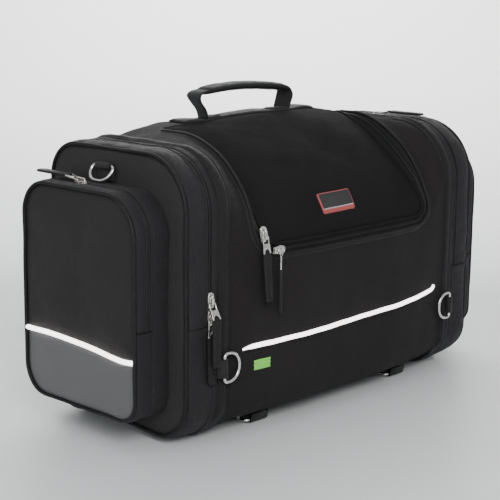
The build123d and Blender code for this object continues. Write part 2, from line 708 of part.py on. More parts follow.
A_LINK_Y = LID_A_Y - 5.35
A_TURN = -48.0
A_TAB = Plane(origin=(LID_A_X - 1, A_LINK_Y, LID_A_Z - 5.95), x_dir=(cos(radians(A_TURN + 90)), sin(radians(A_TURN + 90)), 0),
              z_dir=(-sin(radians(A_TURN + 90)), cos(radians(A_TURN + 90)), 0))
with BuildPart() as lid_pull_a:
    # link round the arch
    with BuildSketch(Plane(origin=(LID_A_X - 1 - 0.6, A_LINK_Y, LID_A_Z - 1.75), x_dir=(0, 1, 0), z_dir=(1, 0, 0))):
        RectangleRounded(4.8, 8.4, 1.6)
        RectangleRounded(3.0, 6.2, 1.0, mode=Mode.SUBTRACT)
    extrude(amount=1.2)
    # horned crimp, turned so that its edge faces out
    with BuildSketch(Plane(origin=A_TAB.origin, x_dir=A_TAB.x_dir, z_dir=A_TAB.z_dir).offset(-0.7)):
        with BuildLine():
            s = 1 if A_TAB.y_dir.Z < 0 else -1
            Polyline((-3.2, s * -0.8), (3.2, s * -0.8), (4.6, s * 8), (4.6, s * 13.2), (3.0, s * 13.4), (2.2, s * 10), (-2.2, s * 10),
                     (-3.0, s * 13.4), (-4.6, s * 13.2), (-4.6, s * 8), close=True)
        make_face()
    extrude(amount=1.4)
    with BuildSketch(Plane(origin=A_TAB.origin, x_dir=A_TAB.x_dir, z_dir=A_TAB.z_dir).offset(-1.1)):
        with BuildLine():
            Polyline((-4.6, s * 13.7), (-2.8, s * 13.7), (-1.9, s * 10.4), (1.9, s * 10.4), (2.8, s * 13.7), (4.6, s * 13.7),
                     (4.6, s * 58), (3.6, s * 61), (-3.6, s * 61), (-4.6, s * 58), close=True)
        make_face()
    extrude(amount=2.2)
lid_pull_a.part.label = "lid_pull_a"
export_step(lid_pull_a.part, "parts/lid_pull_a.step")

with BuildPart() as left_end_slider_a:
    add(zip_slider(LEFT_A))
left_end_slider_a.part.label = "left_end_slider_a"
export_step(left_end_slider_a.part, "parts/left_end_slider_a.step")

with BuildPart() as left_end_pull_a:
    add(zip_pull(LEFT_A, 24)[0])
    add(zip_pull(LEFT_A, 24)[1])
left_end_pull_a.part.label = "left_end_pull_a"
export_step(left_end_pull_a.part, "parts/left_end_pull_a.step")

with BuildPart() as left_end_slider_b:
    add(zip_slider(LEFT_B))
left_end_slider_b.part.label = "left_end_slider_b"
export_step(left_end_slider_b.part, "parts/left_end_slider_b.step")

with BuildPart() as left_end_pull_b:
    add(zip_pull(LEFT_B)[0])
    add(zip_pull(LEFT_B)[1])
left_end_pull_b.part.label = "left_end_pull_b"
export_step(left_end_pull_b.part, "parts/left_end_pull_b.step")

with BuildPart() as right_end_slider:
    add(zip_slider(RIGHT_A))
right_end_slider.part.label = "right_end_slider"
export_step(right_end_slider.part, "parts/right_end_slider.step")

with BuildPart() as right_end_pull:
    add(zip_pull(RIGHT_A, 12)[0])
    add(zip_pull(RIGHT_A, 12)[1])
right_end_pull.part.label = "right_end_pull"
export_step(right_end_pull.part, "parts/right_end_pull.step")

with BuildPart() as left_pocket_slider:
    add(zip_slider(LEFT_P))
left_pocket_slider.part.label = "left_pocket_slider"
export_step(left_pocket_slider.part, "parts/left_pocket_slider.step")

with BuildPart() as left_pocket_pull:
    add(zip_pull(LEFT_P, 9)[0])
    add(zip_pull(LEFT_P, 9)[1])
left_pocket_pull.part.label = "left_pocket_pull"
export_step(left_pocket_pull.part, "parts/left_pocket_pull.step")

with BuildPart() as right_pocket_slider:
    add(zip_slider(RIGHT_P))
right_pocket_slider.part.label = "right_pocket_slider"
export_step(right_pocket_slider.part, "parts/right_pocket_slider.step")

with BuildPart() as right_pocket_pull:
    add(zip_pull(RIGHT_P)[0])
    add(zip_pull(RIGHT_P)[1])
right_pocket_pull.part.label = "right_pocket_pull"
export_step(right_pocket_pull.part, "parts/right_pocket_pull.step")
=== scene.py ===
import json
import math
import bpy
import bmesh
import numpy as np
from mathutils import Matrix, Vector

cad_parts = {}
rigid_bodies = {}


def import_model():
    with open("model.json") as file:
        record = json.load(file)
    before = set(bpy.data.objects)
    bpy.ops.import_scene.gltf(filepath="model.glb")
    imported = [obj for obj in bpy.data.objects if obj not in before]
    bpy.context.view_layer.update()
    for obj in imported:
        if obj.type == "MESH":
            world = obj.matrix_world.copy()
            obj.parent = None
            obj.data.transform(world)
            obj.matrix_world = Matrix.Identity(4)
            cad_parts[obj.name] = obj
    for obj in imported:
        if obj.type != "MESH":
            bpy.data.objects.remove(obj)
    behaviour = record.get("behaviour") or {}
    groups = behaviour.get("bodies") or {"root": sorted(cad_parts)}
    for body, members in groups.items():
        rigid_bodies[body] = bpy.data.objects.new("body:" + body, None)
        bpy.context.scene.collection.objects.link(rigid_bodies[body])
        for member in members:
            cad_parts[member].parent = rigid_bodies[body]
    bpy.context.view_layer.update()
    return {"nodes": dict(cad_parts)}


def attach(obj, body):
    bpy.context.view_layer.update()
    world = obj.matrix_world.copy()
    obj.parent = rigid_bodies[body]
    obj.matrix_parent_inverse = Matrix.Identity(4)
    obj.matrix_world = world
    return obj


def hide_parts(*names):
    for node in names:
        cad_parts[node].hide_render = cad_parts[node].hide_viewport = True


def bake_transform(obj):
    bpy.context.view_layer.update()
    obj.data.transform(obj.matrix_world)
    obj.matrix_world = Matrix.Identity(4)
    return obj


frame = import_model()
S = bpy.context.scene

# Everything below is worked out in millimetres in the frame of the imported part, and written in metres.
# ------------------------------------------------------------------ camera
YAW, PITCH, ROLL = math.radians(46.25), math.radians(11.74), math.radians(0.69)
fwd = Vector((math.sin(YAW) * math.cos(PITCH), math.cos(YAW) * math.cos(PITCH), -math.sin(PITCH)))
right = Vector((math.cos(YAW), -math.sin(YAW), 0))
up = right.cross(fwd)
r2 = right * math.cos(ROLL) + up * math.sin(ROLL)
u2 = up * math.cos(ROLL) - right * math.sin(ROLL)
cam_data = bpy.data.cameras.new("camera")
cam_data.sensor_width = 36.0
cam_data.lens = 1320.91 / 500 * 36
cam = bpy.data.objects.new("camera", cam_data)
S.collection.objects.link(cam)
m = Matrix((r2, u2, -fwd)).transposed().to_4x4()
m.translation = Vector((-1.10972, -1.01651, 0.47327))
cam.matrix_world = m
S.camera = cam


# ------------------------------------------------------------------ materials
class Mat:
    def __init__(self, name):
        self.m = bpy.data.materials.new(name)
        self.m.use_nodes = True
        self.t = self.m.node_tree
        self.n = self.t.nodes
        self.b = self.n["Principled BSDF"]
        self._uv = self._ob = None

    def node(self, kind, **k):
        n = self.n.new(kind)
        for a, v in k.items():
            if hasattr(n, a):
                setattr(n, a, v)
            else:
                n.inputs[a.replace("_", " ")].default_value = v
        return n

    def link(self, a, b):
        self.t.links.new(a, b)

    def math(self, op, a, b=None, clamp=False):
        n = self.n.new("ShaderNodeMath")
        n.operation = op
        n.use_clamp = clamp
        for i, v in enumerate((a, b)):
            if v is None:
                continue
            if isinstance(v, (int, float)):
                n.inputs[i].default_value = v
            else:
                self.link(v, n.inputs[i])
        return n.outputs[0]

    def uv(self):
        """UV in millimetres, as two sockets."""
        if self._uv is None:
            u = self.n.new("ShaderNodeUVMap")
            u.uv_map = "UVMap"
            s = self.n.new("ShaderNodeSeparateXYZ")
            self.link(u.outputs[0], s.inputs[0])
            self._uv = (s.outputs[0], s.outputs[1], u.outputs[0])
        return self._uv

    def obj(self):
        if self._ob is None:
            self._ob = self.n.new("ShaderNodeTexCoord").outputs["Object"]
        return self._ob

    def noise(self, mm, detail=2.0, rough=0.5, coord=None):
        n = self.n.new("ShaderNodeTexNoise")
        n.inputs["Scale"].default_value = 1000.0 / mm
        n.inputs["Detail"].default_value = detail
        n.inputs["Roughness"].default_value = rough
        self.link(coord or self.obj(), n.inputs["Vector"])
        return n.outputs["Fac"]

    def voronoi(self, mm, feature="F1", out="Distance"):
        n = self.n.new("ShaderNodeTexVoronoi")
        n.feature = feature
        n.inputs["Scale"].default_value = 1000.0 / mm
        self.link(self.obj(), n.inputs["Vector"])
        return n.outputs[out]

    def ramp(self, fac, stops):
        n = self.n.new("ShaderNodeValToRGB")
        while len(n.color_ramp.elements) < len(stops):
            n.color_ramp.elements.new(0.5)
        for e, (p, c) in zip(n.color_ramp.elements, stops):
            e.position = p
            e.color = (*c, 1.0) if len(c) == 3 else c
        self.link(fac, n.inputs[0])
        return n.outputs[0]

    def range(self, fac, lo, hi, a=0.0, b=1.0):
        n = self.n.new("ShaderNodeMapRange")
        n.inputs["From Min"].default_value = a
        n.inputs["From Max"].default_value = b
        n.inputs["To Min"].default_value = lo
        n.inputs["To Max"].default_value = hi
        self.link(fac, n.inputs["Value"])
        return n.outputs[0]

    def bump(self, *layers):
        """layers: (height socket, distance in mm, strength)"""
        last = None
        for h, d, s in layers:
            n = self.n.new("ShaderNodeBump")
            n.inputs["Distance"].default_value = d / 1000.0
            n.inputs["Strength"].default_value = s
            self.link(h, n.inputs["Height"])
            if last is not None:
                self.link(last, n.inputs["Normal"])
            last = n.outputs[0]
        self.link(last, self.b.inputs["Normal"])

    def weave(self, pitch, ratio=1.0, skew=False):
        """Height of a plain weave with the given thread pitch in mm, from UVs that are in mm."""
        u, v, _ = self.uv()
        if skew:
            a = self.math("ADD", u, v)
            b = self.math("SUBTRACT", u, v)
            u, v = a, b
        su = self.math("SINE", self.math("MULTIPLY", u, math.pi / pitch))
        sv = self.math("SINE", self.math("MULTIPLY", v, math.pi / (pitch * ratio)))
        return self.math("MULTIPLY", su, sv)


def set_in(mat, **k):
    for a, v in k.items():
        mat.b.inputs[a.replace("_", " ")].default_value = v


def fabric(name, dark, light, pitch=0.9, rough=(0.62, 0.82), sheen=0.04, bump=0.16, mottle=7.0, weave=1.0, ratio=1.0, spec=0.18):
    """Coated polyester: a plain weave, pebbled by the coating, with uneven colour and gloss."""
    t = Mat(name)
    w = t.weave(pitch, ratio)
    fine = t.noise(0.7, 2.0)
    blotch = t.noise(mottle, 3.0, 0.6)
    broad = t.noise(70.0, 2.0)
    f = t.math("ADD", t.math("MULTIPLY", w, 0.22), t.math("MULTIPLY", fine, 0.45))
    f = t.math("ADD", f, t.math("MULTIPLY", blotch, 0.35))
    f = t.math("ADD", f, t.math("MULTIPLY", broad, 0.25))
    col = t.ramp(f, [(0.12, dark), (0.55, tuple((a + b) / 2 for a, b in zip(dark, light))), (0.95, light)])
    t.link(col, t.b.inputs["Base Color"])
    t.link(t.range(blotch, rough[0], rough[1], 0.3, 0.7), t.b.inputs["Roughness"])
    set_in(t, Sheen_Weight=sheen, Sheen_Roughness=0.5, Specular_IOR_Level=spec)
    t.b.inputs["Sheen Tint"].default_value = (0.75, 0.75, 0.8, 1)
    t.bump((t.noise(9.0, 2.0), 0.5, 0.35), (w, bump, 0.8 * weave), (fine, bump * 0.8, 0.6))
    return t.m


def plastic(name, dark, light, rough=(0.35, 0.5), grain=0.6, bump=0.05, sheen=0.0, spec=0.4):
    t = Mat(name)
    n = t.noise(5.0, 3.0)
    g = t.voronoi(grain)
    t.link(t.ramp(n, [(0.3, dark), (0.75, light)]), t.b.inputs["Base Color"])
    t.link(t.range(n, rough[0], rough[1], 0.3, 0.7), t.b.inputs["Roughness"])
    set_in(t, Sheen_Weight=sheen, Specular_IOR_Level=spec)
    t.bump((n, 0.15, 0.4), (g, bump, 0.5))
    return t.m


def metal(name, dark, light, rough=(0.16, 0.34), scratch=0.35):
    t = Mat(name)
    n = t.noise(3.0, 4.0, 0.6)
    s = t.noise(0.5, 2.0)
    t.link(t.ramp(n, [(0.32, dark), (0.62, light)]), t.b.inputs["Base Color"])
    t.link(t.range(n, rough[0], rough[1], 0.3, 0.7), t.b.inputs["Roughness"])
    set_in(t, Metallic=1.0)
    t.bump((s, 0.03, scratch), (n, 0.08, 0.3))
    return t.m


def webbing(name, dark, light, rib=1.5):
    """Ribbed webbing: UVs in mm, u along the strap and v across it."""
    t = Mat(name)
    u, v, _ = t.uv()
    ribs = t.math("ABSOLUTE", t.math("SINE", t.math("MULTIPLY", v, math.pi / rib)))
    picks = t.math("SINE", t.math("ADD", t.math("MULTIPLY", u, 2 * math.pi / 1.1), t.math("MULTIPLY", v, 2.2)))
    n = t.noise(1.2, 2.0)
    f = t.math("ADD", t.math("MULTIPLY", ribs, 0.5), t.math("MULTIPLY", n, 0.5))
    t.link(t.ramp(f, [(0.15, dark), (0.85, light)]), t.b.inputs["Base Color"])
    set_in(t, Roughness=0.7, Sheen_Weight=0.05, Specular_IOR_Level=0.3)
    t.bump((ribs, 0.35, 0.8), (picks, 0.12, 0.6), (n, 0.1, 0.5))
    return t.m


def leather(name):
    t = Mat(name)
    cells = t.voronoi(0.8, "DISTANCE_TO_EDGE")
    n = t.noise(4.0, 3.0)
    t.link(t.ramp(n, [(0.3, (0.0055, 0.0052, 0.0053)), (0.75, (0.0145, 0.0138, 0.0136))]), t.b.inputs["Base Color"])
    t.link(t.range(n, 0.48, 0.68, 0.3, 0.7), t.b.inputs["Roughness"])
    set_in(t, Specular_IOR_Level=0.25)
    t.bump((n, 0.25, 0.4), (cells, 0.15, 0.6))
    return t.m


def reflective(name):
    """Silver retroreflective film: glass beads on grey, in a fine honeycomb, with a painted glow: an emission that
    stands in for the light the beads throw back.
    """
    t = Mat(name)
    c = t.voronoi(1.1, "DISTANCE_TO_EDGE")
    n = t.noise(6.0, 2.0)
    t.link(t.ramp(c, [(0.0, (0.62, 0.60, 0.58)), (0.12, (0.90, 0.88, 0.86))]), t.b.inputs["Base Color"])
    # painted glow: the emission makes the film shine like a lamp, standing in for light thrown back at the camera
    e = t.ramp(n, [(0.25, (0.80, 0.70, 0.68)), (0.7, (1.0, 0.97, 0.95))])
    t.link(e, t.b.inputs["Emission Color"])
    set_in(t, Roughness=0.35, Emission_Strength=4.6)
    t.bump((c, 0.06, 0.5), (n, 0.2, 0.3))
    return t.m


def zipper(name):
    """Woven zip tape, ribbed along its length."""
    t = Mat(name)
    u, v, _ = t.uv()
    ribs = t.math("SINE", t.math("MULTIPLY", v, 2 * math.pi / 0.9))
    n = t.noise(0.8, 2.0)
    f = t.math("ADD", t.math("MULTIPLY", ribs, 0.25), n)
    t.link(t.ramp(f, [(0.2, (0.0045, 0.0045, 0.0050)), (0.9, (0.0125, 0.0125, 0.0132))]), t.b.inputs["Base Color"])
    set_in(t, Roughness=0.75, Sheen_Weight=0.04, Specular_IOR_Level=0.2)
    t.bump((ribs, 0.12, 0.7), (n, 0.1, 0.5))
    return t.m


M = {
    "body": fabric("body_weave", (0.0103, 0.0092, 0.0095), (0.0250, 0.0223, 0.0231), 1.0, bump=0.20, rough=(0.66, 0.84), sheen=0.02, spec=0.10),
    # painted shade: the lid cloth is the body's fabric made darker, to hold down the light its up-facing top catches
    # from above
    "lid": fabric("lid_weave_shaded", (0.0092, 0.0087, 0.0088), (0.0214, 0.0203, 0.0206), 0.9, bump=0.16, rough=(0.74, 0.90), sheen=0.0, spec=0.03),
    "gusset": fabric("gusset_weave", (0.0097, 0.0090, 0.0100), (0.0236, 0.0220, 0.0240), 1.0, bump=0.20, rough=(0.55, 0.78)),
    "welt": fabric("band_weave", (0.0062, 0.0060, 0.0066), (0.0165, 0.0158, 0.0170), 1.0, bump=0.22, rough=(0.52, 0.75)),
    "end": fabric("end_weave", (0.0148, 0.0138, 0.0138), (0.0355, 0.0332, 0.0332), 1.0, bump=0.18),
    "pocket": fabric("pocket_weave", (0.0110, 0.0097, 0.0094), (0.0236, 0.0207, 0.0202), 0.7, bump=0.10, mottle=10, rough=(0.6, 0.78)),
    "facing": fabric("facing_weave", (0.078, 0.077, 0.078), (0.118, 0.117, 0.119), 0.5, bump=0.05, mottle=14, rough=(0.42, 0.58), sheen=0.1),
    "lining": fabric("lining_weave", (0.016, 0.016, 0.018), (0.036, 0.036, 0.040), 0.5, bump=0.06, rough=(0.5, 0.65), sheen=0.1),
    "piping": plastic("piping_vinyl", (0.0065, 0.0064, 0.0070), (0.0150, 0.0147, 0.0157), (0.50, 0.68), spec=0.2),
    "grip": plastic("grip_rubber", (0.0055, 0.0058, 0.0058), (0.0128, 0.0134, 0.0132), (0.55, 0.75), 0.9, 0.12, spec=0.28),
    "web": webbing("strap_webbing", (0.0070, 0.0070, 0.0077), (0.0190, 0.0188, 0.0200)),
    "zip": zipper("zip_tape_weave"),
    "coil": plastic("zip_coil_nylon", (0.0050, 0.0050, 0.0056), (0.0130, 0.0130, 0.0140), (0.36, 0.50), 0.4, 0.03, spec=0.28),
    "ring": metal("ring_nickel", (0.50, 0.49, 0.47), (0.78, 0.77, 0.74), (0.12, 0.26)),
    "slider": metal("slider_nickel", (0.52, 0.50, 0.48), (0.80, 0.78, 0.75), (0.14, 0.30)),
    "leather": leather("pull_leather_grain"),
    "thread": plastic("thread_black", (0.020, 0.020, 0.022), (0.045, 0.045, 0.048), (0.6, 0.8), 0.3, 0.05),
    "reflective": reflective("reflective_film_painted_glow"),
}


# ------------------------------------------------------------------ mesh helpers
def field(P, seed, wl, amp, n=7):
    """Smooth seeded noise of about the given wavelength in mm."""
    r = np.random.default_rng(seed)
    P = np.asarray(P, float)
    out = np.zeros(P.shape[:-1])
    for _ in range(n):
        k = r.normal(size=P.shape[-1])
        k = k / np.linalg.norm(k) * 2 * math.pi / wl * r.uniform(0.6, 1.5)
        out += np.cos(P @ k + r.uniform(0, 6.28))
    return out * amp / math.sqrt(n)


def smooth(t, a=0.0, b=1.0):
    t = np.clip((np.asarray(t, float) - a) / (b - a), 0, 1)
    return t * t * (3 - 2 * t)


def unit(v):
    return v / np.maximum(np.linalg.norm(v, axis=-1, keepdims=True), 1e-9)


SETTLE = None       # slump applied to the points of every piece made while it is set


def make(name, V, F, UV=None, mat=None, mats=None, fmat=None, shade=True, fix=True):
    """A mesh object from points in mm, faces, and per-corner UVs in mm."""
    if SETTLE is not None:
        V = SETTLE(np.array(V, float))
    me = bpy.data.meshes.new(name)
    me.from_pydata((np.asarray(V, float) / 1000.0).tolist(), [], [list(map(int, f)) for f in F])
    if UV is not None:
        layer = me.uv_layers.new(name="UVMap")
        layer.data.foreach_set("uv", np.asarray(UV, np.float32).ravel())
    for x in (mats or [mat]):
        me.materials.append(x)
    if fmat is not None:
        me.polygons.foreach_set("material_index", np.asarray(fmat, np.int32))
    me.update()
    if fix:
        bm = bmesh.new()
        bm.from_mesh(me)
        bmesh.ops.recalc_face_normals(bm, faces=bm.faces)
        bm.to_mesh(me)
        bm.free()
    if shade:
        me.polygons.foreach_set("use_smooth", [True] * len(me.polygons))
    ob = bpy.data.objects.new(name, me)
    S.collection.objects.link(ob)
    return ob


def grid(V, close_u=False, close_v=False, caps=False, U=None, W=None):
    """Points (n, k, 3) to (verts, quads, corner UVs). u runs along the first index."""
    n, k = V.shape[:2]
    if U is None:
        U = np.concatenate([[0], np.cumsum(np.linalg.norm(np.diff(np.concatenate([V, V[:1]]), axis=0), axis=-1).mean(1))])
    if W is None:
        W = np.concatenate([[0], np.cumsum(np.linalg.norm(np.diff(np.concatenate([V, V[:, :1]], 1), axis=1), axis=-1).mean(0))])
    nu, nv = (n if close_u else n - 1), (k if close_v else k - 1)
    I, J = np.meshgrid(np.arange(nu), np.arange(nv), indexing="ij")
    I, J = I.ravel(), J.ravel()
    I1, J1 = (I + 1) % n, (J + 1) % k
    F = np.stack([I * k + J, I1 * k + J, I1 * k + J1, I * k + J1], 1).tolist()
    uv = np.stack([np.stack([U[I], W[J]], 1), np.stack([U[I + 1], W[J]], 1), np.stack([U[I + 1], W[J + 1]], 1),
                   np.stack([U[I], W[J + 1]], 1)], 1).reshape(-1, 2)
    if caps and not close_u:
        for r in (0, n - 1):
            F.append([r * k + j for j in range(k)])
            c = V[r].mean(0)
            uv = np.concatenate([uv, np.stack([W[:k], np.zeros(k)], 1)])
    return V.reshape(-1, 3), F, uv


def path_frames(pos, nrm=None, closed=False):
    """Tangents, normals and binormals along a path."""
    if closed:
        t = np.roll(pos, -1, 0) - np.roll(pos, 1, 0)
    else:
        t = np.gradient(pos, axis=0)
    t = unit(t)
    if nrm is None:
        ref = np.array([0, 0, 1.0]) if abs(t[0] @ np.array([0, 0, 1.0])) < 0.9 else np.array([1.0, 0, 0])
        n = unit(ref - t[0] * (t[0] @ ref))
        out = [n]
        for i in range(1, len(pos)):
            n = out[-1] - t[i] * (t[i] @ out[-1])
            out.append(n / np.linalg.norm(n))
        nrm = np.array(out)
    nrm = unit(nrm - t * np.sum(nrm * t, -1, keepdims=True))
    return t, nrm, np.cross(t, nrm)


def sweep(name, pos, nrm, section, mat, closed=False, scale=None, disp=None, caps=True):
    """section: (k, 2) closed polygon of (across, out) in mm, or (n, k, 2)."""
    pos = np.asarray(pos, float)
    t, nn, bb = path_frames(pos, None if nrm is None else np.asarray(nrm, float), closed)
    sec = np.asarray(section, float)
    if sec.ndim == 2:
        sec = np.repeat(sec[None], len(pos), 0)
    if scale is not None:
        sec = sec * np.asarray(scale)[:, None, None]
    V = pos[:, None] + bb[:, None] * sec[..., :1] + nn[:, None] * sec[..., 1:]
    if disp is not None:
        V = disp(V, nn)
    v, f, uv = grid(V, closed, True, caps)
    return make(name, v, f, uv, mat)


def circle(r, k=12, squash=1.0):
    a = np.arange(k) * 2 * math.pi / k
    return np.stack([r * np.cos(a), r * squash * np.sin(a)], 1)


def slab(x0, x1, lo, hi, crown=0.0, k=9, edge=0.6):
    """Section of a soft band: across from x0 to x1, underside at lo, top at hi, crowned."""
    s = np.linspace(0, 1, k)
    top = hi + crown * (1 - np.abs(2 * s - 1) ** 2.6)
    top[0] -= edge
    top[-1] -= edge
    x = x0 + (x1 - x0) * s
    up = np.stack([x, top], 1)
    dn = np.stack([[x1, x0 + (x1 - x0) * 0.5, x0], [lo, lo, lo]], 1)
    return np.concatenate([up, dn])


def rr(y0, y1, z0, z1, R, d=0.0, step=4.0):
    """Rounded rectangle in (y, z) shrunk by d, from the middle of the bottom towards the front, with outward normals."""
    y0, y1, z0, z1 = y0 + d, y1 - d, z0 + d, z1 - d
    bf, bb, tb, tf = [max(r - d, 0.6) for r in R]
    P, N = [], []

    def line(a, b, n):
        L = math.dist(a, b)
        c = max(int(round(L / step)), 1)
        for i in range(c):
            s = i / c
            P.append((a[0] + (b[0] - a[0]) * s, a[1] + (b[1] - a[1]) * s))
            N.append(n)

    def arc(c, r, a0, a1):
        k = max(int(round(abs(a1 - a0) * r / step)), 5)
        for i in range(k):
            a = a0 + (a1 - a0) * i / k
            P.append((c[0] + r * math.cos(a), c[1] + r * math.sin(a)))
            N.append((math.cos(a), math.sin(a)))

    h = math.pi / 2
    mid = (y0 + bf + y1 - bb) / 2
    line((mid, z0), (y0 + bf, z0), (0, -1))
    arc((y0 + bf, z0 + bf), bf, -h, -2 * h)
    line((y0, z0 + bf), (y0, z1 - tf), (-1, 0))
    arc((y0 + tf, z1 - tf), tf, 2 * h, h)
    line((y0 + tf, z1), (y1 - tb, z1), (0, 1))
    arc((y1 - tb, z1 - tb), tb, h, 0)
    line((y1, z1 - tb), (y1, z0 + bb), (1, 0))
    arc((y1 - bb, z0 + bb), bb, 0, -h)
    line((y1 - bb, z0), (mid, z0), (0, -1))
    return np.array(P), np.array(N)


def cut(P, N, z, above=True):
    """The part of a closed outline above (or below) z, as an open path from its first crossing."""
    n = len(P)
    keep = P[:, 1] > z if above else P[:, 1] < z
    start = next(i for i in range(n) if not keep[i] and keep[(i + 1) % n])
    outP, outN = [], []

    def crossing(i, j):
        s = (z - P[i, 1]) / (P[j, 1] - P[i, 1])
        return P[i] + (P[j] - P[i]) * s, unit(N[i] + (N[j] - N[i]) * s)

    a, b = crossing(start, (start + 1) % n)
    outP.append(a)
    outN.append(b)
    i = (start + 1) % n
    while keep[i]:
        outP.append(P[i])
        outN.append(N[i])
        i = (i + 1) % n
    a, b = crossing((i - 1) % n, i)
    outP.append(a)
    outN.append(b)
    P2, N2 = np.array(outP), np.array(outN)
    good = np.concatenate([[True], np.linalg.norm(np.diff(P2, axis=0), axis=1) > 0.2])
    return P2[good], N2[good]


def at_x(x, P):
    return np.concatenate([np.full((len(P), 1), float(x)), P], 1)


def ring_sweep(name, sg, P, N, section, mat, closed=True, **k):
    """A section given as (x outward from the bag's middle, out) swept round an outline in (y, z)."""
    sec = np.asarray(section, float).copy()
    pos = at_x(0.0, P)
    nrm = at_x(0.0, N)
    t, nn, bb = path_frames(pos, nrm, closed)
    flip = 1.0 if bb[0, 0] > 0 else -1.0
    sec[..., 0] *= sg * flip
    return sweep(name, pos, nrm, sec, mat, closed, **k)


def ride(ob, body, slot=None, *nodes, pad=None):
    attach(ob, body)
    if nodes:
        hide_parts(*nodes)
    return ob


def bevel(ob, w=0.4, seg=2, angle=40):
    b = ob.modifiers.new("bevel", "BEVEL")
    b.width = w / 1000
    b.segments = seg
    b.limit_method = "ANGLE"
    b.angle_limit = math.radians(angle)
    apply_mods(ob)
    return ob


def apply_mods(ob):
    bpy.context.view_layer.update()
    dg = bpy.context.evaluated_depsgraph_get()
    me = bpy.data.meshes.new_from_object(ob.evaluated_get(dg), preserve_all_data_layers=True, depsgraph=dg)
    old = ob.data
    ob.modifiers.clear()
    ob.data = me
    bpy.data.meshes.remove(old)
    return ob


def prism(name, poly, origin, ex, ey, ez, z0, z1, mat, bev=0.0, seg=2):
    """An extruded polygon in the plane (ex, ey) at origin, from z0 to z1 along ez."""
    poly = np.asarray(poly, float)
    o, ex, ey, ez = (np.asarray(v, float) for v in (origin, ex, ey, ez))
    n = len(poly)
    lo = o + poly[:, :1] * ex + poly[:, 1:] * ey + z0 * ez
    hi = lo + (z1 - z0) * ez
    F = [list(range(n))[::-1], list(range(n, 2 * n))] + [[i, (i + 1) % n, n + (i + 1) % n, n + i] for i in range(n)]
    UV = []
    V = np.concatenate([lo, hi])
    for f in F:
        for i in f:
            p = poly[i % n]
            UV.append((p[0] + (3 if i >= n else 0), p[1]))
    ob = make(name, V, F, UV, mat, shade=False)
    if bev:
        bevel(ob, bev, seg)
        ob.data.polygons.foreach_set("use_smooth", [True] * len(ob.data.polygons))
    return ob


def join(name, obs):
    """Several mesh objects as one piece."""
    base = obs[0]
    with bpy.context.temp_override(active_object=base, selected_editable_objects=obs, selected_objects=obs, object=base):
        bpy.ops.object.join()
    base.name = name
    base.data.name = name
    return base


def stitches(name, pos, nrm, mat, pitch=3.4, length=2.4, r=0.28, lift=0.1):
    """A row of thread stitches along a path that lies on a surface."""
    pos = np.asarray(pos, float)
    L = np.concatenate([[0], np.cumsum(np.linalg.norm(np.diff(pos, axis=0), axis=1))])
    n = max(int(L[-1] / pitch), 1)
    V, F, UV = [], [], []
    for i in range(n):
        a = (i + 0.5) * pitch - length / 2
        ss = np.array([a, a + length * 0.15, a + length * 0.5, a + length * 0.85, a + length])
        p = np.stack([np.interp(ss, L, pos[:, j]) for j in range(3)], 1)
        q = unit(np.stack([np.interp(ss, L, nrm[:, j]) for j in range(3)], 1))
        h = np.array([-0.35, 0.5, 1.0, 0.5, -0.35]) * r
        rad = np.array([0.45, 0.9, 1.0, 0.9, 0.45]) * r
        t = unit(np.gradient(p, axis=0))
        b = np.cross(t, q)
        base = len(V)
        for j in range(5):
            for k in range(6):
                w = k * math.pi / 3
                V.append(p[j] + q[j] * (lift + h[j]) + (b[j] * math.cos(w) + q[j] * math.sin(w)) * rad[j])
        for j in range(4):
            for k in range(6):
                F.append([base + j * 6 + k, base + (j + 1) * 6 + k, base + (j + 1) * 6 + (k + 1) % 6, base + j * 6 + (k + 1) % 6])
                UV += [(0, 0), (1, 0), (1, 1), (0, 1)]
        for j in (0, 4):
            F.append([base + j * 6 + k for k in range(6)])
            UV += [(0, 0)] * 6
    return make(name, V, F, UV, mat)


def resample(P, step, closed=False):
    P = np.asarray(P, float)
    Q = np.concatenate([P, P[:1]]) if closed else P
    L = np.concatenate([[0], np.cumsum(np.linalg.norm(np.diff(Q, axis=0), axis=1))])
    n = max(int(round(L[-1] / step)), 3)
    s = np.linspace(0, L[-1], n + 1)
    if closed:
        s = s[:-1]
    return np.stack([np.interp(s, L, Q[:, j]) for j in range(P.shape[1])], 1)


def chaikin(P, n=2, closed=False):
    P = np.asarray(P, float)
    for _ in range(n):
        Q = np.roll(P, -1, 0) if closed else P[1:]
        A = P if closed else P[:-1]
        a, b = A * 0.75 + Q * 0.25, A * 0.25 + Q * 0.75
        R = np.empty((len(a) * 2, P.shape[1]))
        R[0::2], R[1::2] = a, b
        P = R if closed else np.concatenate([P[:1], R, P[-1:]])
    return P


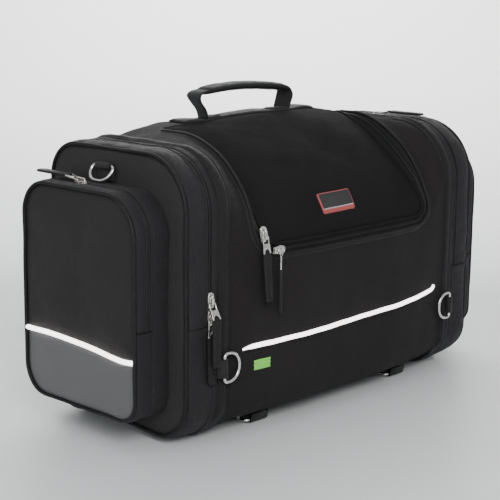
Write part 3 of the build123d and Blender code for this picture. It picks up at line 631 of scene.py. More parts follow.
def panel(name, outline, thick, front, mat, rings=22, lining=None, rim=None, to3d=None, power=1.0):
    """A padded panel bounded by a closed outline in a plane. to3d maps (a, b, height, s) to points in mm, where s is 0 in
    the middle and 1 at the edge; front gives the height of the face, and the back is thick lower."""
    c = outline.mean(0)
    s = np.linspace(0, 1, rings + 1)[1:] ** power
    n = len(outline)
    ab = c + (outline[:, None] - c) * s[None, :, None]      # (n, rings, 2)
    ss = np.repeat(s[None], n, 0)
    top = to3d(ab[..., 0], ab[..., 1], front(ab[..., 0], ab[..., 1], ss))
    bot = to3d(ab[..., 0], ab[..., 1], front(ab[..., 0], ab[..., 1], ss) * 0 - thick)
    ct = to3d(c[0:1], c[1:2], front(c[0:1], c[1:2], np.zeros(1)))
    cb = to3d(c[0:1], c[1:2], np.array([-thick]))
    V = np.concatenate([top.reshape(-1, 3), bot.reshape(-1, 3), ct, cb])
    R = len(s)
    F, UV, fm = [], [], []
    off = n * R
    uvp = ab.reshape(-1, 2)
    for side, o in ((0, 0), (1, off)):
        centre = 2 * off + side
        for i in range(n):
            j = (i + 1) % n
            F.append([centre, o + i * R, o + j * R])
            UV += [tuple(c), tuple(uvp[i * R]), tuple(uvp[j * R])]
            fm.append(side)
            for k in range(R - 1):
                F.append([o + i * R + k, o + i * R + k + 1, o + j * R + k + 1, o + j * R + k])
                UV += [tuple(uvp[i * R + k]), tuple(uvp[i * R + k + 1]), tuple(uvp[j * R + k + 1]), tuple(uvp[j * R + k])]
                fm.append(side)
    for i in range(n):
        j = (i + 1) % n
        F.append([i * R + R - 1, off + i * R + R - 1, off + j * R + R - 1, j * R + R - 1])
        a, b = uvp[i * R + R - 1], uvp[j * R + R - 1]
        UV += [tuple(a), (a[0], a[1] + thick), (b[0], b[1] + thick), tuple(b)]
        fm.append(0)
    return make(name, V, F, UV, mats=[mat, lining or mat], fmat=fm)


# ------------------------------------------------------------------ main body surface
HALF = 181.8
X0, X1, LZ, LR = -143.0, 143.0, 195.0, 26.0
HY = 33.0
Q0 = 215.5


def crown(x):
    return (np.abs(np.asarray(x, float)) / HALF) ** 3.2


def rt(x):
    """Radius of the big front edge, which tightens towards the end seams."""
    return 115.0 - 49.0 * smooth(np.abs(np.asarray(x, float)), 152.0, 186.0)


def sag(x):
    """How far the fabric sinks where it turns over, in mm."""
    return 1.8 + 6.5 * smooth(np.asarray(x, float), 30.0, 130.0) * smooth(181.0 - np.asarray(x, float), 0.0, 26.0)


def top_z(x):
    x = np.asarray(x, float)
    return 301.5 + 14.5 * (1 - crown(x)) + 2.2 * np.sin(math.pi * np.clip(x / HALF, -1, 1))


def front_y(x):
    return -100.6 - 10.6 * (1 - crown(x))


def upper(x, q):
    """Crowned front and top of the body: q is the way up in mm from z = 195 on the front, over the top towards the back."""
    x, q = np.broadcast_arrays(np.asarray(x, float), np.asarray(q, float))
    F, T = front_y(x), top_z(x)
    R = rt(x)
    zc = T - R
    L1 = zc - 150
    L2 = R * math.pi / 2
    qh = L1 + L2 + (HY - F - R)
    s = 45 + q * (qh - 45) / Q0
    phi = np.clip((s - L1) / R, 0, math.pi / 2)
    on_top = np.clip(s - L1 - L2, 0, None)
    r = R - sag(x) * np.sin(np.clip(phi * 2, 0, math.pi)) ** 1.5
    y = F + R - r * np.cos(phi) + on_top
    z = zc + r * np.sin(phi)
    z = np.where(s < L1, 150 + s, z)
    y = np.where(s < L1, F, y)
    return np.stack([x + 0 * y, y, z], -1)


EDGE = np.array([(-109.5, 195), (-108.5, 206), (-103.5, 217), (-94, 228), (-82, 239), (-67, 251), (-52, 263), (-36, 275), (-20, 287), (-4, 298.5),
                 (12, 306.5), (22, 309.8), (33, 311.5)], float)
MIDDLE = np.array([(-111.5, 195), (-112, 206), (-110, 218), (-103, 231.5), (-90.5, 246), (-74.5, 261), (-57.5, 275), (-40.5, 287), (-22.5, 298), (-5, 307.5),
                   (11, 313.3), (22, 315.6), (33, 316.5)], float)


def table(T):
    T = chaikin(T, 3)
    s = np.concatenate([[0], np.cumsum(np.linalg.norm(np.diff(T, axis=0), axis=1))])
    return s / s[-1], T


EDGE_T, MID_T = table(EDGE), table(MIDDLE)


def lid_face(x, q):
    """The lid's slack fabric: nearly a straight slope at its sides, fuller in the middle."""
    x, q = np.broadcast_arrays(np.asarray(x, float), np.asarray(q, float))
    w = q / Q0
    wc = np.clip(w, 0, 1)
    e = np.stack([np.interp(wc, EDGE_T[0], EDGE_T[1][:, i]) for i in (0, 1)], -1)
    m_ = np.stack([np.interp(wc, MID_T[0], MID_T[1][:, i]) for i in (0, 1)], -1)
    t = np.clip((x - X0) / (X1 - X0), 0, 1)
    b = (1 - np.abs(2 * t - 1) ** 2.6)[..., None]
    yz = e * (1 - b) + m_ * b
    at1 = upper(x, np.full_like(x, Q0))[..., 1:]
    at0 = upper(x, np.zeros_like(x))[..., 1:]
    e1 = e * 0 + EDGE_T[1][-1] * (1 - b) + MID_T[1][-1] * b
    e0 = e * 0 + EDGE_T[1][0] * (1 - b) + MID_T[1][0] * b
    yz = yz + (at1 - e1) * (wc[..., None] ** 3) + (at0 - e0) * ((1 - wc[..., None]) ** 3)
    over = upper(x, q)
    out = np.concatenate([x[..., None], yz], -1)
    return np.where((w > 1)[..., None] | (w < 0)[..., None], over, out)


def lid_dist(x, q):
    """Signed distance from the lid's edge in the (x, q) plane, positive outside."""
    cx = (X0 + X1) / 2
    hx = (X1 - X0) / 2
    dx = np.abs(x - cx) - (hx - LR)
    dq = LR - q
    return np.sqrt(np.maximum(dx, 0) ** 2 + np.maximum(dq, 0) ** 2) + np.minimum(np.maximum(dx, dq), 0) - LR


def outer(x, q):
    """Body and lid together: the lid sinks below the frame round it."""
    x, q = np.broadcast_arrays(np.asarray(x, float), np.asarray(q, float))
    d = lid_dist(x, q)
    b = smooth(d, 5.5, -6.0)[..., None]
    return upper(x, q) * (1 - b) + lid_face(x, q) * b


def normals_of(fn, x, q):
    e = 0.6
    du = fn(x + e, q) - fn(x - e, q)
    dv = fn(x, q + e) - fn(x, q - e)
    n = unit(np.cross(du, dv))
    return np.where(n[..., 1:2] * -1 + n[..., 2:3] < 0, -n, n)


def ripple(P, seed=0):
    """Unevenness of the body's padding, in mm."""
    return field(P, 11 + seed, 120, 0.8) + field(P, 23 + seed, 46, 0.35) + field(P, 29 + seed, 19, 0.10)


# ---- body shell: a closed profile at each station along x
def body_profile(x, n_front=30, n_arc=40, n_top=22, n_back=58, n_bot=44):
    F, T, R = float(front_y(x)), float(top_z(x)), float(rt(x))
    B = 112.5 + 4.0 * (1 - crown(x))
    Z = 11.0
    out = []
    # up the front from the bottom corner's end
    za, zb = Z + 38, T - R
    for i in range(n_front):
        out.append((F, za + (zb - za) * i / n_front))
    for i in range(n_arc):
        a = math.pi / 2 * i / n_arc
        r = R - float(sag(x)) * math.sin(min(a * 2, math.pi)) ** 1.5
        out.append((F + R - r * math.cos(a), zb + r * math.sin(a)))
    ya, yb = F + R, B - 45
    for i in range(n_top):
        out.append((ya + (yb - ya) * i / n_top, T))
    for i in range(18):
        a = math.pi / 2 * (1 - i / 18)
        out.append((yb + 45 * math.cos(a), T - 45 + 45 * math.sin(a)))
    for i in range(n_back):
        out.append((B, T - 45 + (Z + 38 - T + 45) * i / n_back))
    for i in range(14):
        a = -math.pi / 2 * i / 14
        out.append((B - 38 + 38 * math.cos(a), Z + 38 + 38 * math.sin(a)))
    ya, yb = B - 38, F + 38
    for i in range(n_bot):
        out.append((ya + (yb - ya) * i / n_bot, Z))
    for i in range(14):
        a = -math.pi / 2 - math.pi / 2 * i / 14
        out.append((F + 38 + 38 * math.cos(a), Z + 38 + 38 * math.sin(a)))
    return np.array(out)


xs = np.concatenate([np.linspace(-HALF, -172, 6)[:-1], np.linspace(-172, 172, 87), np.linspace(172, HALF, 6)[1:]])
prof = np.stack([body_profile(x) for x in xs])                     # (nx, k, 2)
P3 = np.concatenate([np.repeat(xs[:, None, None], prof.shape[1], 1), prof], 2)
du = np.gradient(P3, axis=0)
dv = np.roll(P3, -1, 1) - np.roll(P3, 1, 1)
N3 = unit(np.cross(du, dv))
if ((P3 - np.array([0, 5, 160.0])) * N3).sum() < 0:
    N3 = -N3
ends = smooth(HALF - np.abs(P3[..., 0]), 0, 16)
# fullness between the seams, slack creases by the end seams, and a general unevenness
full = 1.6 * np.sin(math.pi * np.clip((P3[..., 2] - 20) / 165, 0, 1)) * (P3[..., 1] < -60) * (1 - crown(P3[..., 0]))
back = 2.0 * np.sin(math.pi * np.clip((P3[..., 2] - 20) / 260, 0, 1)) * (P3[..., 1] > 80) * (1 - crown(P3[..., 0]))
pucker = field(P3 * np.array([0.15, 1, 1]), 41, 13, 0.55) * np.exp(-(HALF - np.abs(P3[..., 0])) / 9.0)
flat_bottom = smooth(P3[..., 2], 11.5, 26)
h = (ripple(P3) * 1.25 + full + back) * ends * (0.25 + 0.75 * flat_bottom) + pucker * smooth(HALF - np.abs(P3[..., 0]), 0, 3)
OUT = P3 + N3 * h[..., None]
INN = P3 - N3 * 3.6
nx, kk = prof.shape[:2]
vo, fo, uo = grid(OUT, False, True)
vi, fi, ui = grid(INN, False, True)
fi = [[a + len(vo) for a in f[::-1]] for f in fi]
ui = ui.reshape(-1, 4, 2)[:, ::-1].reshape(-1, 2)
rim_f, rim_uv = [], []
for r in (0, nx - 1):
    for j in range(kk):
        j1 = (j + 1) % kk
        rim_f.append([r * kk + j, r * kk + j1, len(vo) + r * kk + j1, len(vo) + r * kk + j])
        rim_uv += [(j, 0), (j + 1, 0), (j + 1, 4), (j, 4)]
shell = make("body_shell", np.concatenate([vo, vi]), fo + fi + rim_f, np.concatenate([uo, ui, np.array(rim_uv, float)]),
             mats=[M["body"], M["lining"]], fmat=[0] * len(fo) + [1] * len(fi) + [0] * len(rim_f))


def prism_cut(name, x0, x1, z0, y1, r):
    pts = []
    for cx, cz, a0 in ((x0 + r, z0 + r, math.pi), (x1 - r, z0 + r, 1.5 * math.pi)):
        for i in range(17):
            a = a0 + math.pi / 2 * i / 16
            pts.append((cx + r * math.cos(a), cz + r * math.sin(a)))
    pts += [(x1, 400), (x0, 400)]
    n = len(pts)
    V = [(x, -220, z) for x, z in pts] + [(x, y1, z) for x, z in pts]
    F = [list(range(n)), list(range(2 * n - 1, n - 1, -1))] + [[i, n + i, n + (i + 1) % n, (i + 1) % n] for i in range(n)]
    return make(name, V, F, None, M["body"], shade=False)


HINGE_BACK = 46.0
for nm, cutter in (("c1", prism_cut("c1", X0 - 6.4, X1 + 6.4, LZ - 6.4, HY + 1.0, LR + 6.4)),
                   ("c2", prism_cut("c2", X0 + 4.0, X1 - 4.0, 250, HINGE_BACK, 2))):
    b = shell.modifiers.new(nm, "BOOLEAN")
    b.operation = "DIFFERENCE"
    b.solver = "EXACT"
    b.object = cutter
    apply_mods(shell)
    bpy.data.objects.remove(cutter)
shell.data.polygons.foreach_set("use_smooth", [True] * len(shell.data.polygons))
ride(shell, "root", "body_fabric", "main_body_shell", pad=0.35)


# ---- paths round the lid, in (x, q)
def lid_path(d, q_top=Q0, step=3.0, q_bot=0.0):
    r = LR + d
    pts = [(X0 - d, q_top)]
    pts.append((X0 - d, LR))
    for i in range(1, 16):
        a = math.pi + math.pi / 2 * i / 16
        pts.append((X0 + LR + r * math.cos(a), LR + r * math.sin(a)))
    pts.append((X0 + LR, -d))
    pts.append((X1 - LR, -d))
    for i in range(1, 16):
        a = 1.5 * math.pi + math.pi / 2 * i / 16
        pts.append((X1 - LR + r * math.cos(a), LR + r * math.sin(a)))
    pts.append((X1 + d, LR))
    pts.append((X1 + d, q_top))
    return resample(np.array(pts), step)


def on_outer(path, lift=0.0, wob=True):
    x, q = path[:, 0], path[:, 1]
    p = outer(x, q)
    n = normals_of(outer, x, q)
    if wob:
        p = p + n * (ripple(p) * 1.0)[:, None]
    return p + n * lift, n


def band_on_outer(name, d0, d1, lift0, lift1, thick, mat, q_top=Q0, crown_h=0.0, k=5, step=3.0):
    """A strip that lies on the surface between two offsets from the lid's edge."""
    rows = []
    base = lid_path(0.0, q_top, step)
    for j in range(k):
        s = j / (k - 1)
        d = d0 + (d1 - d0) * s
        r = lid_path(d, q_top, step)
        r = resample(r, 1.0)
        idx = np.linspace(0, len(r) - 1, len(base))
        r = np.stack([np.interp(idx, np.arange(len(r)), r[:, i]) for i in (0, 1)], 1)
        p, n = on_outer(r, lift0 + (lift1 - lift0) * s + crown_h * (1 - (2 * s - 1) ** 2))
        rows.append((p, n))
    top = np.stack([p for p, _ in rows], 1)
    low = np.stack([p - n * thick for p, n in rows], 1)[:, ::-1]
    V = np.concatenate([top, low], 1)
    v, f, uv = grid(V, False, True, True)
    return make(name, v, f, uv, mat)


# frame piping on the body, with the flat lip that joins it to the tape
p, n = on_outer(lid_path(6.0, Q0 + 3), 0.7)
piping = sweep("lid_frame_piping_cord", p, n, circle(2.2, 12), M["piping"])
ride(piping, "root", "piping", "lid_frame_piping")
inner_lip = band_on_outer("lid_frame_lip", 11.5, 5.8, 0.1, 0.5, 1.6, M["gusset"], Q0 + 3, 0.5)
ride(inner_lip, "root", "piping")
tape = band_on_outer("body_zip_tape_lid", 5.2, 0.5, -0.6, -0.9, 1.0, M["zip"], Q0)
ride(tape, "root", "zip_tape", "body_zip_tapes")
tape = band_on_outer("lid_zip_tape_cloth", -0.5, -7.0, -0.9, -0.9, 1.0, M["zip"], Q0)
ride(tape, "lid", "zip_tape", "lid_zip_tape")


def coil(name, pos, nrm, side, r=0.95, pitch=1.5):
    """One half of a nylon zip coil: a ribbed bead beside the zip's middle line."""
    pos = resample(np.concatenate([pos, nrm], 1), 0.5)
    pos, nrm = pos[:, :3], unit(pos[:, 3:])
    s = np.arange(len(pos)) * 0.5
    ph = 0.0 if side < 0 else 0.5
    w = np.cos(2 * math.pi * (s / pitch + ph))
    sec = circle(r, 8, 0.85)[None] * (0.86 + 0.22 * w)[:, None, None]
    sec[..., 0] += side * (r * 0.72) - side * 0.25 * w[:, None]
    return sweep(name, pos, nrm, sec, M["coil"])


p, n = on_outer(lid_path(0.0, Q0 - 2), -0.35)
ride(coil("body_coil_lid", p, n, -1), "root", "zip_tape")
ride(coil("lid_coil", p, n, 1), "lid", "zip_tape")


# ---- lid: a padded panel
def lid_outline_xq(d):
    a = lid_path(d, Q0, 4.0)
    a = a[a[:, 1] < Q0 - 1]
    xl, xr = X0 - d, X1 + d
    end = HINGE_BACK - HY + Q0 - 0.4
    left = [(xl, q) for q in np.arange(end, Q0 - 2, -4.0)]
    right = [(xr, q) for q in np.arange(Q0 - 1, end + 0.1, 4.0)] + [(xr, end)]
    topline = [(x, end) for x in np.linspace(xr, xl, 70)[1:-1]]
    return np.concatenate([left, a, right, topline])


def lid_to3d(x, q, h):
    p = outer(x, q)
    n = normals_of(outer, x, q)
    return p + n * (h + ripple(p))[..., None]


def lid_front(x, q, s):
    soft = 1.8 * (1 - s ** 6) - 1.2 * s ** 14
    hinge = smooth(q, Q0 + 2, Q0 - 30)
    return soft * (0.3 + 0.7 * hinge) + field(np.stack([x, q], -1), 5, 70, 0.7) * (1 - s ** 4) * hinge


lid = panel("lid_cushion", lid_outline_xq(-4.8), 4.5, lid_front, M["lid"], 34, M["lining"], to3d=lid_to3d, power=0.85)


# ------------------------------------------------------------------ cloth
def puff(ob, pin, pressure=3.0, frames=16, cap=4.0, stiff=12.0, shrink=0.0, mass=0.2, calm=24):
    """Swells a closed padded mesh with Blender's cloth, held where pin is 1, and keeps each point within cap mm."""
    me = ob.data
    rest = np.array([v.co for v in me.vertices], float)
    g = ob.vertex_groups.new(name="pin")
    w = pin(rest * 1000.0)
    for lvl in np.unique(np.round(w, 2)):
        g.add([int(i) for i in np.nonzero(np.round(w, 2) == lvl)[0]], float(lvl), "REPLACE")
    c = ob.modifiers.new("cloth", "CLOTH")
    s = c.settings
    s.quality = 6
    s.mass = mass
    s.tension_stiffness = stiff
    s.compression_stiffness = stiff
    s.shear_stiffness = stiff * 0.6
    s.bending_stiffness = 0.6
    s.use_pressure = True
    s.uniform_pressure_force = pressure
    s.shrink_min = shrink
    s.vertex_group_mass = "pin"
    s.effector_weights.gravity = 0.0
    c.collision_settings.use_collision = False
    c.collision_settings.use_self_collision = False
    c.point_cache.frame_start = 1
    c.point_cache.frame_end = frames
    for f in range(1, frames + 1):
        S.frame_set(f)
    dg = bpy.context.evaluated_depsgraph_get()
    ev = ob.evaluated_get(dg)
    new = np.array([v.co for v in ev.data.vertices], float)
    ob.modifiers.clear()
    ob.vertex_groups.clear()
    d = new - rest
    # padding evens out creases narrower than itself
    e = np.array([q.vertices[:] for q in me.edges])
    deg = np.maximum(np.bincount(e.ravel(), minlength=len(d)), 1)[:, None]
    free = (w < 0.999)[:, None]
    for _ in range(calm):
        a = np.stack([np.bincount(e[:, 0], d[e[:, 1], j], len(d)) + np.bincount(e[:, 1], d[e[:, 0], j], len(d)) for j in range(3)], 1) / deg
        d = np.where(free, d * 0.4 + a * 0.6, d)
    L = np.linalg.norm(d, axis=1, keepdims=True)
    lim = cap / 1000.0
    d = d * np.minimum(1.0, lim / np.maximum(L, 1e-9))
    me.vertices.foreach_set("co", (rest + d).astype(np.float32).ravel())
    me.update()
    S.frame_set(1)
    return ob


def pin_lid(P):
    x = P[:, 0]
    edge = np.minimum(np.minimum(x - (X0 + 4.8), (X1 - 4.8) - x), 400)
    bottom = P[:, 2] - (LZ + 4.6)
    d = np.minimum(edge, bottom)
    w = 1 - smooth(d, 1.0, 9.0)
    w = np.maximum(w, smooth(P[:, 1], 14, 26))
    return np.clip(w, 0, 1)
puff(lid, pin_lid, 2.0, 14, 4.5, 14.0, shrink=-0.012, calm=80)
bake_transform(lid)
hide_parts("lid_panel")

# welt seam round the lid's own edge
p, n = on_outer(lid_path(-6.4, Q0 - 1), 0.9)
seam = sweep("lid_edge_binding", p, n, slab(-2.2, 2.2, -1.6, 0.0, 0.6, 7, 0.5), M["lid"])
ride(seam, "lid", "lid_fabric")


# ------------------------------------------------------------------ end compartments and pockets
C_LEFT = (-99.0, 114.0, 0.0, 301.0, (50.0, 42.0, 42.0, 60.0))
C_RIGHT = (-99.0, 114.0, 0.0, 302.5, (50.0, 42.0, 42.0, 71.0))
P_ARGS = (-74.0, 105.0, 30.0, 264.0, (28.0, 35.0, 38.0, 45.0))
SEAM = 127.0
STRIP = np.array([(105.0, 102.0), (70.0, 103.4), (43.0, 103.0), (12.0, 101.6), (-19.0, 99.5), (-42.0, 97.2), (-57.0, 96.0), (-74.0, 98.0)])


def p_rr(d=0.0, step=4.0):
    return rr(*P_ARGS, d=d, step=step)


def slump(V):
    """The bottom of each end compartment lifts off the ground towards its outer end."""
    x, y, z = np.abs(V[..., 0]), V[..., 1], V[..., 2]
    a = 3.6 + 5.4 * np.clip(1 - ((y - 10) / 78.0) ** 2, 0, 1)
    V[..., 2] = z + a * smooth(x, 203.0, 238.0) * (1 - smooth(z, 4.0, 44.0))
    return V


def floor_clear(V, z=0.15):
    V[..., 2] = np.maximum(V[..., 2], z)
    return V


def soft(seed, big=0.7, small=0.25, tight=0.0):
    """Displacement along the outline's normal for gusset fabric: long slack waves and short puckers at the seams."""
    def fn(V, nn):
        h = field(V, seed, 85, big) + field(V, seed + 1, 30, small) + field(V * np.array([0.35, 1, 1]), seed + 2, 12, tight)
        k = V.shape[1]
        w = np.ones(k)
        return floor_clear(V + nn[:, None] * (h * w)[..., None])
    return fn


def gusset_section(xs_, hs, lo):
    """Outer face through the points (x, h), inner face at lo."""
    up_ = np.stack([xs_, hs], 1)
    dn = np.array([[xs_[-1], lo], [(xs_[0] + xs_[-1]) / 2, lo], [xs_[0], lo]])
    return np.concatenate([up_, dn])


def clip_loop(P, line, above, step=3.5):
    """The part of a closed outline above (or below) a line given as (y, z) points, closed along that line."""
    ln = line[np.argsort(line[:, 0])]
    lv = np.interp(P[:, 0], ln[:, 0], ln[:, 1])
    sgn = 1 if above else -1
    g = (P[:, 1] - lv) * sgn
    n = len(P)
    start = next(i for i in range(n) if g[i] <= 0 and g[(i + 1) % n] > 0)
    out = []

    def cross(i, j):
        s = g[i] / (g[i] - g[j])
        return P[i] + (P[j] - P[i]) * s

    out.append(cross(start, (start + 1) % n))
    i = (start + 1) % n
    while g[i] > 0:
        out.append(P[i])
        i = (i + 1) % n
    out.append(cross((i - 1) % n, i))
    a, b = out[-1], out[0]
    k = max(int(abs(a[0] - b[0]) / step), 4)
    ys = np.linspace(a[0], b[0], k + 1)[1:-1]
    zs = np.interp(ys, ln[:, 0], ln[:, 1])
    return resample(np.concatenate([np.array(out), np.stack([ys, zs], 1)]), step, True)


def yz_panel(name, sg, outline, x, thick, front, mat, rings=24, lining=None, seed=0, wob=0.6, power=0.9):
    """A panel in a plane of constant x; its face is at x plus the height given by front."""
    def to3d(a, b, h):
        P = np.stack([np.full_like(a, 0.0), a, b], -1)
        w = field(P + seed, 60 + seed, 95, wob) + field(P, 61 + seed, 38, wob * 0.35)
        w = np.where(h < -1.5, 0, w)
        P[..., 0] = sg * (x + h + w)
        return floor_clear(P)
    return panel(name, outline, thick, front, mat, rings, lining, to3d=to3d, power=power)


def side(sg, nm):
    g_seed = 100 if sg < 0 else 200

    def c_rr(d=0.0, step=4.0):
        return rr(*(C_LEFT if sg < 0 else C_RIGHT), d=d, step=step)

    door, flap = f"{nm}_door", f"{nm}_flap"
    # --- wall behind the seam, that closes the step between the body and the larger end compartment
    P, N = c_rr(1.2)
    c = np.array([5.0, 150.0])
    Pi = c + (P - c) * 0.80
    V = np.stack([at_x(sg * 182.6, P), at_x(sg * 182.6, Pi), at_x(sg * 184.0, Pi), at_x(sg * 184.0, P)], 1)
    v, f, uv = grid(floor_clear(V), True, True)
    ride(make(f"{nm}_seam_wall", v, f, uv, M["gusset"]), "root", "gusset_fabric")
    # --- fixed gusset, from the body seam to the zip
    P, N = c_rr(0)
    xs_ = np.array([182.2, 184.0, 186.0, 190.0, 194.0, 197.0, 199.0, 202.0, 204.8, 206.0])
    hs = np.array([-0.6, 0.1, 0.3, 0.5, 0.5, 0.2, 0.0, 0.9, 0.5, -0.6])
    o = ring_sweep(f"{nm}_gusset_fixed", sg, P, N, gusset_section(xs_, hs, -3.3), M["gusset"], disp=soft(g_seed, 0.36, 0.13, 0.15))
    ride(o, "root", "gusset_fabric", "end_gussets")
    # --- padded band, tapered away at its two lower ends
    P, N = c_rr(0, 3.0)
    Pw, Nw = cut(P, N, 16.0, True)
    L = np.concatenate([[0], np.cumsum(np.linalg.norm(np.diff(Pw, axis=0), axis=1))])
    tape_ = smooth(np.minimum(L, L[-1] - L), 0, 26)
    base = slab(183.0, 198.2, -1.2, -0.2, 0.0, 13, 0.5)
    crown_ = np.zeros(len(base))
    sx = np.linspace(0, 1, 13)
    crown_[:13] = (1 - np.abs(2 * sx - 1) ** 2.4) * 3.7 - 0.7 * np.exp(-((sx - 0.16) / 0.05) ** 2) - 0.7 * np.exp(-((sx - 0.84) / 0.05) ** 2)
    sec = np.repeat(base[None], len(Pw), 0)
    sec[:, :, 1] += crown_[None] * tape_[:, None]
    o = ring_sweep(f"{nm}_padded_band", sg, Pw, Nw, sec, M["welt"], closed=False, disp=soft(g_seed + 10, 0.35, 0.3, 0.22))
    ride(o, "root", "padded_band", "body_welts", pad=0.5)
    # groove binding between the body and the band
    Pg, Ng = cut(*c_rr(0.4, 3.0), 16.0, True)
    o = ring_sweep(f"{nm}_seam_cord", sg, Pg, Ng, circle(1.5, 8) + [182.4, 0.3], M["gusset"], closed=False)
    ride(o, "root", "body_fabric")
    # --- compartment zip
    P, N = c_rr(0, 2.0)
    Pz, Nz = cut(P, N, SEAM + 0.3, True)
    o = ring_sweep(f"{nm}_zip_tape_fixed", sg, Pz, Nz, slab(205.9, 208.9, -2.4, -1.2, 0, 5, 0.2), M["zip"], closed=False)
    ride(o, "root", "zip_tape")
    o = ring_sweep(f"{nm}_zip_tape_door", sg, Pz, Nz, slab(209.1, 212.7, -2.4, -1.2, 0, 5, 0.2), M["zip"], closed=False)
    ride(o, door, "zip_tape", f"{nm}_door_zip_tapes")
    pos, nrm = at_x(sg * 209.0, Pz) + at_x(0, Nz) * -0.7, at_x(0, Nz)
    ride(coil(f"{nm}_coil_fixed", pos, nrm, -1 if path_frames(pos, nrm)[2][0, 0] * sg > 0 else 1), "root", "zip_tape")
    ride(coil(f"{nm}_coil_door", pos, nrm, 1 if path_frames(pos, nrm)[2][0, 0] * sg > 0 else -1), door, "zip_tape")
    # flaps of gusset cloth folded back beside the zip
    for tag, xa, xb, body in (("fixed", 203.6, 206.6, "root"), ("door", 211.6, 214.6, door)):
        o = ring_sweep(f"{nm}_zip_fold_{tag}", sg, Pz, Nz, slab(xa, xb, -1.8, 0.0, 0.9, 7, 0.6), M["gusset"], closed=False,
                       disp=soft(g_seed + 20, 0.45, 0.15, 0.1))
        ride(o, body, "gusset_fabric")
    # --- moving gusset above the seam
    Pz, Nz = cut(*c_rr(0, 4.0), SEAM + 0.3, True)
    xs_ = np.array([212.6, 214.0, 217.0, 222.0, 227.0, 232.0, 235.4, 236.8])
    hs = np.array([-1.0, 0.0, 0.6, 1.2, 1.3, 0.8, -0.2, -1.4])
    o = ring_sweep(f"{nm}_gusset_outer", sg, Pz, Nz, gusset_section(xs_, hs, -3.2), M["gusset"], closed=False, disp=soft(g_seed + 20, 0.7, 0.3, 0.2))
    ride(o, door, "gusset_fabric", f"{nm}_gusset_outer")
    # --- lower gusset: plain cloth across the joint, with the hem of the seam at its top
    Pl, Nl = cut(*c_rr(0, 4.0), SEAM - 0.2, False)
    zt = Pl[:, 1]
    xs_ = np.array([205.6, 207.0, 210.0, 214.0, 219.0, 224.0, 229.0, 233.0, 235.6, 237.2])
    hs = np.array([-0.8, 0.2, -0.2, 0.5, 1.1, 1.3, 1.1, 0.7, -0.2, -1.4])
    sec = np.repeat(gusset_section(xs_, hs, -2.8)[None], len(Pl), 0)
    hem = smooth(zt, SEAM - 7, SEAM - 3)
    sec[:, :len(xs_), 1] += (hem * 1.3)[:, None]
    o = ring_sweep(f"{nm}_gusset_lower_cloth", sg, Pl, Nl, sec, M["gusset"], closed=False, disp=soft(g_seed + 30, 0.8, 0.35, 0.2))
    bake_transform(o)
    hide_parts(f"{nm}_gusset_lower")
    # --- piping round the end panel
    P, N = c_rr(2.5, 3.0)
    pos = at_x(sg * 238.9, P)
    pos[:, 0] += sg * field(pos, g_seed + 3, 60, 0.35)
    pos += at_x(0, N) * field(pos, g_seed + 4, 70, 0.3)[:, None]
    pos[:, 2] = np.maximum(pos[:, 2], 2.55)
    o = sweep(f"{nm}_end_piping_cord", pos, at_x(0, N), circle(2.1, 12), M["piping"], True)
    ride(o, door, "piping", f"{nm}_end_piping")
    # flat flange of the piping under the panel's edge
    o = ring_sweep(f"{nm}_end_flange", sg, *c_rr(0, 4.0), slab(236.2, 238.4, -4.8, -1.5, 0.2, 5, 0.3), M["piping"])
    ride(o, door, "piping")
    # --- end panel
    P, N = c_rr(4.0, 4.0)
    o = yz_panel(f"{nm}_end_cushion", sg, P, 239.2, 2.6, lambda a, b, s: 2.6 * (1 - s ** 7) - 0.8 * s ** 16, M["end"], 26, M["lining"], g_seed, 0.5)
    ride(o, door, "end_fabric", f"{nm}_end_panel", pad=0.35)

    # --- pocket: inner wall, from the end panel to the pocket zip
    xs_ = np.array([240.9, 242.2, 245.0, 250.0, 255.0, 260.0, 263.2, 264.6])
    hs = np.array([-0.6, 0.2, 0.5, 0.9, 1.0, 0.8, 0.5, -0.6])
    o = ring_sweep(f"{nm}_pocket_wall_inner", sg, *p_rr(0, 4.0), gusset_section(xs_, hs, -3.0), M["gusset"], disp=soft(g_seed + 40, 0.6, 0.25, 0.2))
    ride(o, door, "pocket_fabric", f"{nm}_pocket_walls")
    Pz, Nz = cut(*p_rr(0, 2.0), SEAM + 0.3, True)
    o = ring_sweep(f"{nm}_pocket_tape_door", sg, Pz, Nz, slab(264.3, 266.9, -2.4, -1.2, 0, 5, 0.2), M["zip"], closed=False)
    ride(o, door, "zip_tape")
    o = ring_sweep(f"{nm}_pocket_tape_flap", sg, Pz, Nz, slab(267.1, 269.7, -2.4, -1.2, 0, 5, 0.2), M["zip"], closed=False)
    ride(o, flap, "zip_tape", f"{nm}_flap_zip_tape")
    pos, nrm = at_x(sg * 267.0, Pz) + at_x(0, Nz) * -0.7, at_x(0, Nz)
    q_ = path_frames(pos, nrm)[2][0, 0] * sg > 0
    ride(coil(f"{nm}_pocket_coil_door", pos, nrm, -1 if q_ else 1), door, "zip_tape")
    ride(coil(f"{nm}_pocket_coil_flap", pos, nrm, 1 if q_ else -1), flap, "zip_tape")
    for tag, xa, xb, body in (("inner", 262.6, 265.4, door), ("outer", 268.8, 271.6, flap)):
        o = ring_sweep(f"{nm}_pocket_fold_{tag}", sg, Pz, Nz, slab(xa, xb, -1.8, 0.0, 0.8, 7, 0.6), M["gusset"], closed=False,
                       disp=soft(g_seed + 40, 0.4, 0.15, 0.1))
        ride(o, body, "pocket_fabric")
